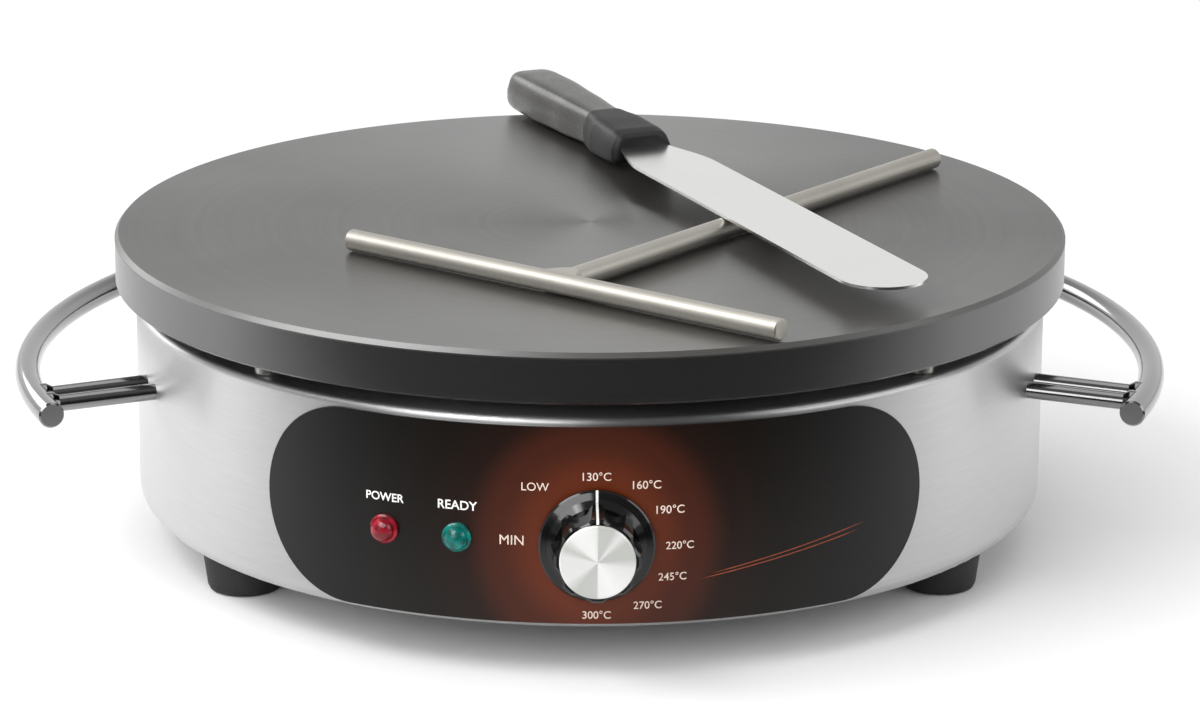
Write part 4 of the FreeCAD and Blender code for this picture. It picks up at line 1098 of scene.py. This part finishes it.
@dataclass
class Studio:
    """Floor, soft lights, white surroundings and the camera.

    Attributes:
        shop: Where finishes come from.
        eye: Camera place in metres.
        tilt: Camera turn about X in degrees, from looking straight down.
        roll: Camera roll in degrees.
        yaw: Turn of the camera's place about the object's axis in degrees.
        lens: Focal length in millimetres.
        sensor: Width of the camera's sensor in millimetres.
        clip: Nearest and farthest distance that the camera sees, in metres.
        floor_size: Side of the floor in metres.
        boxes: The soft lights.
        room_share: Strength of the room's even light on the object.
        round_about: Tones that reflections see round the horizon, from the lens's side to the far side.
        ceiling: Tone that reflections see overhead.
        ceiling_between: Z of a reflection's direction at which the ceiling begins, and at which it is all.
    """

    shop: Shop
    eye: tuple[float, float, float] = (0.00444, -1.9198, 0.6356)
    tilt: float = 73.716
    roll: float = 0.188
    yaw: float = -1.0
    lens: float = 138.59
    sensor: float = 36.0
    clip: tuple[float, float] = (0.05, 40.0)
    floor_size: float = 14.0
    boxes: tuple[Softbox, ...] = (
        Softbox("overhead_softbox", (0.0, 0.3, 1.7), (0.0, 0.0, 0.1), (2.4, 1.6), 11.0),
        Softbox("key_softbox", (-0.95, -0.55, 1.25), (0.0, 0.0, 0.1), (1.8, 0.7), 18.0),
        Softbox("right_softbox", (1.6, -0.6, 0.9), (0.0, 0.0, 0.08), (1.6, 1.2), 9.0),
        Softbox("rim_softbox", (-1.4, 1.5, 0.9), (0.0, 0.1, 0.14), (1.1, 0.8), 9.0),
        Softbox("front_softbox", (-0.85, -1.7, 0.85), (0.0, 0.0, 0.06), (1.5, 0.9), 14.0),
    )
    room_share: float = 0.6
    round_about: tuple[tuple[float, str], ...] = ((0.05, "#383838"), (0.35, "#a8a8a8"), (0.65, "#bcbcbc"),
                                                  (0.88, "#fafafa"))
    ceiling: str = "#7c7c7c"
    ceiling_between: tuple[float, float] = (0.35, 0.75)

    def floor(self) -> None:
        """Lay the white floor."""
        bpy.ops.object.select_all(action="DESELECT")
        bpy.ops.mesh.primitive_plane_add(size=self.floor_size)
        floor = bpy.context.object
        floor.name = "studio_floor"
        self.shop.coat(floor, FLOOR)

    def lights(self) -> None:
        """Hang the soft lights."""
        for box in self.boxes:
            data = bpy.data.lights.new(box.name, "AREA")
            data.shape = "RECTANGLE"
            data.size, data.size_y = box.size
            data.energy = box.power
            light = bpy.data.objects.new(box.name, data)
            bpy.context.scene.collection.objects.link(light)
            direction = Vector(box.aim) - Vector(box.place)
            light.location = box.place
            light.rotation_euler = direction.to_track_quat("-Z", "Y").to_euler()
            LOG.info("%s: %.0f W", box.name, box.power)

    def surroundings(self) -> None:
        """Light the scene softly, and show white to the camera and in reflections."""
        world = bpy.data.worlds.new("white_room")
        bpy.context.scene.world = world
        world.use_nodes = True
        tree = world.node_tree
        tree.nodes.clear()
        output = add_node(tree, "ShaderNodeOutputWorld")
        path = add_node(tree, "ShaderNodeLightPath")
        way = add_node(tree, "ShaderNodeTexCoord").outputs["Generated"]
        axes = add_node(tree, "ShaderNodeSeparateXYZ", {"Vector": way})
        depth = add_node(tree, "ShaderNodeMapRange",
                         {"Value": axes.outputs["Y"], "From Min": -1.0, "From Max": 1.0})
        horizon = add_node(tree, "ShaderNodeValToRGB", {"Fac": depth.outputs["Result"]})
        set_ramp(horizon, self.round_about)
        overhead = add_node(tree, "ShaderNodeMapRange",
                            {"Value": axes.outputs["Z"], "From Min": self.ceiling_between[0],
                             "From Max": self.ceiling_between[1]})
        tone = add_node(tree, "ShaderNodeMix", {"Factor": overhead.outputs["Result"],
                                                "A": horizon.outputs["Color"], "B": linear(self.ceiling)},
                        data_type="RGBA")
        room = add_node(tree, "ShaderNodeBackground",
                        {"Color": linear("#f2f2f2"), "Strength": self.room_share})
        mirrored = add_node(tree, "ShaderNodeBackground", {"Color": tone.outputs["Result"], "Strength": 1.0})
        white = add_node(tree, "ShaderNodeBackground", {"Color": (1, 1, 1, 1), "Strength": 1.0})
        inner = add_node(tree, "ShaderNodeMixShader", {0: path.outputs["Is Glossy Ray"], 1: room.outputs[0],
                                                       2: mirrored.outputs[0]})
        mix = add_node(tree, "ShaderNodeMixShader", {0: path.outputs["Is Camera Ray"], 1: inner.outputs[0],
                                                     2: white.outputs[0]})
        tree.links.new(mix.outputs[0], output.inputs["Surface"])

    def camera(self) -> None:
        """Set the camera where the photograph was taken from."""
        data = bpy.data.cameras.new("camera")
        data.sensor_width = self.sensor
        data.lens = self.lens
        data.clip_start, data.clip_end = self.clip
        camera = bpy.data.objects.new("camera", data)
        bpy.context.scene.collection.objects.link(camera)
        tilted = Matrix.Rotation(math.radians(self.tilt), 4, "X")
        rolled = Matrix.Rotation(math.radians(self.roll), 4, "Z")
        round_the_object = Matrix.Rotation(math.radians(self.yaw), 4, "Z")
        camera.matrix_world = round_the_object @ Matrix.Translation(self.eye) @ tilted @ rolled
        bpy.context.scene.camera = camera

    def build(self) -> None:
        """Set up the whole studio."""
        self.floor()
        self.lights()
        self.surroundings()
        self.camera()
        bpy.context.scene.view_settings.view_transform = "Standard"


def main() -> None:
    """Build the looks in order."""
    logging.basicConfig(level=logging.INFO, format="%(name)s %(message)s")
    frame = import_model()
    shop = Shop()
    for group in (PlateGroup(frame, shop), DrumGroup(frame, shop), ControlGroup(frame, shop),
                  ToolGroup(frame, shop)):
        group.build()
    Studio(shop).build()


if __name__ == "__main__":
    main()
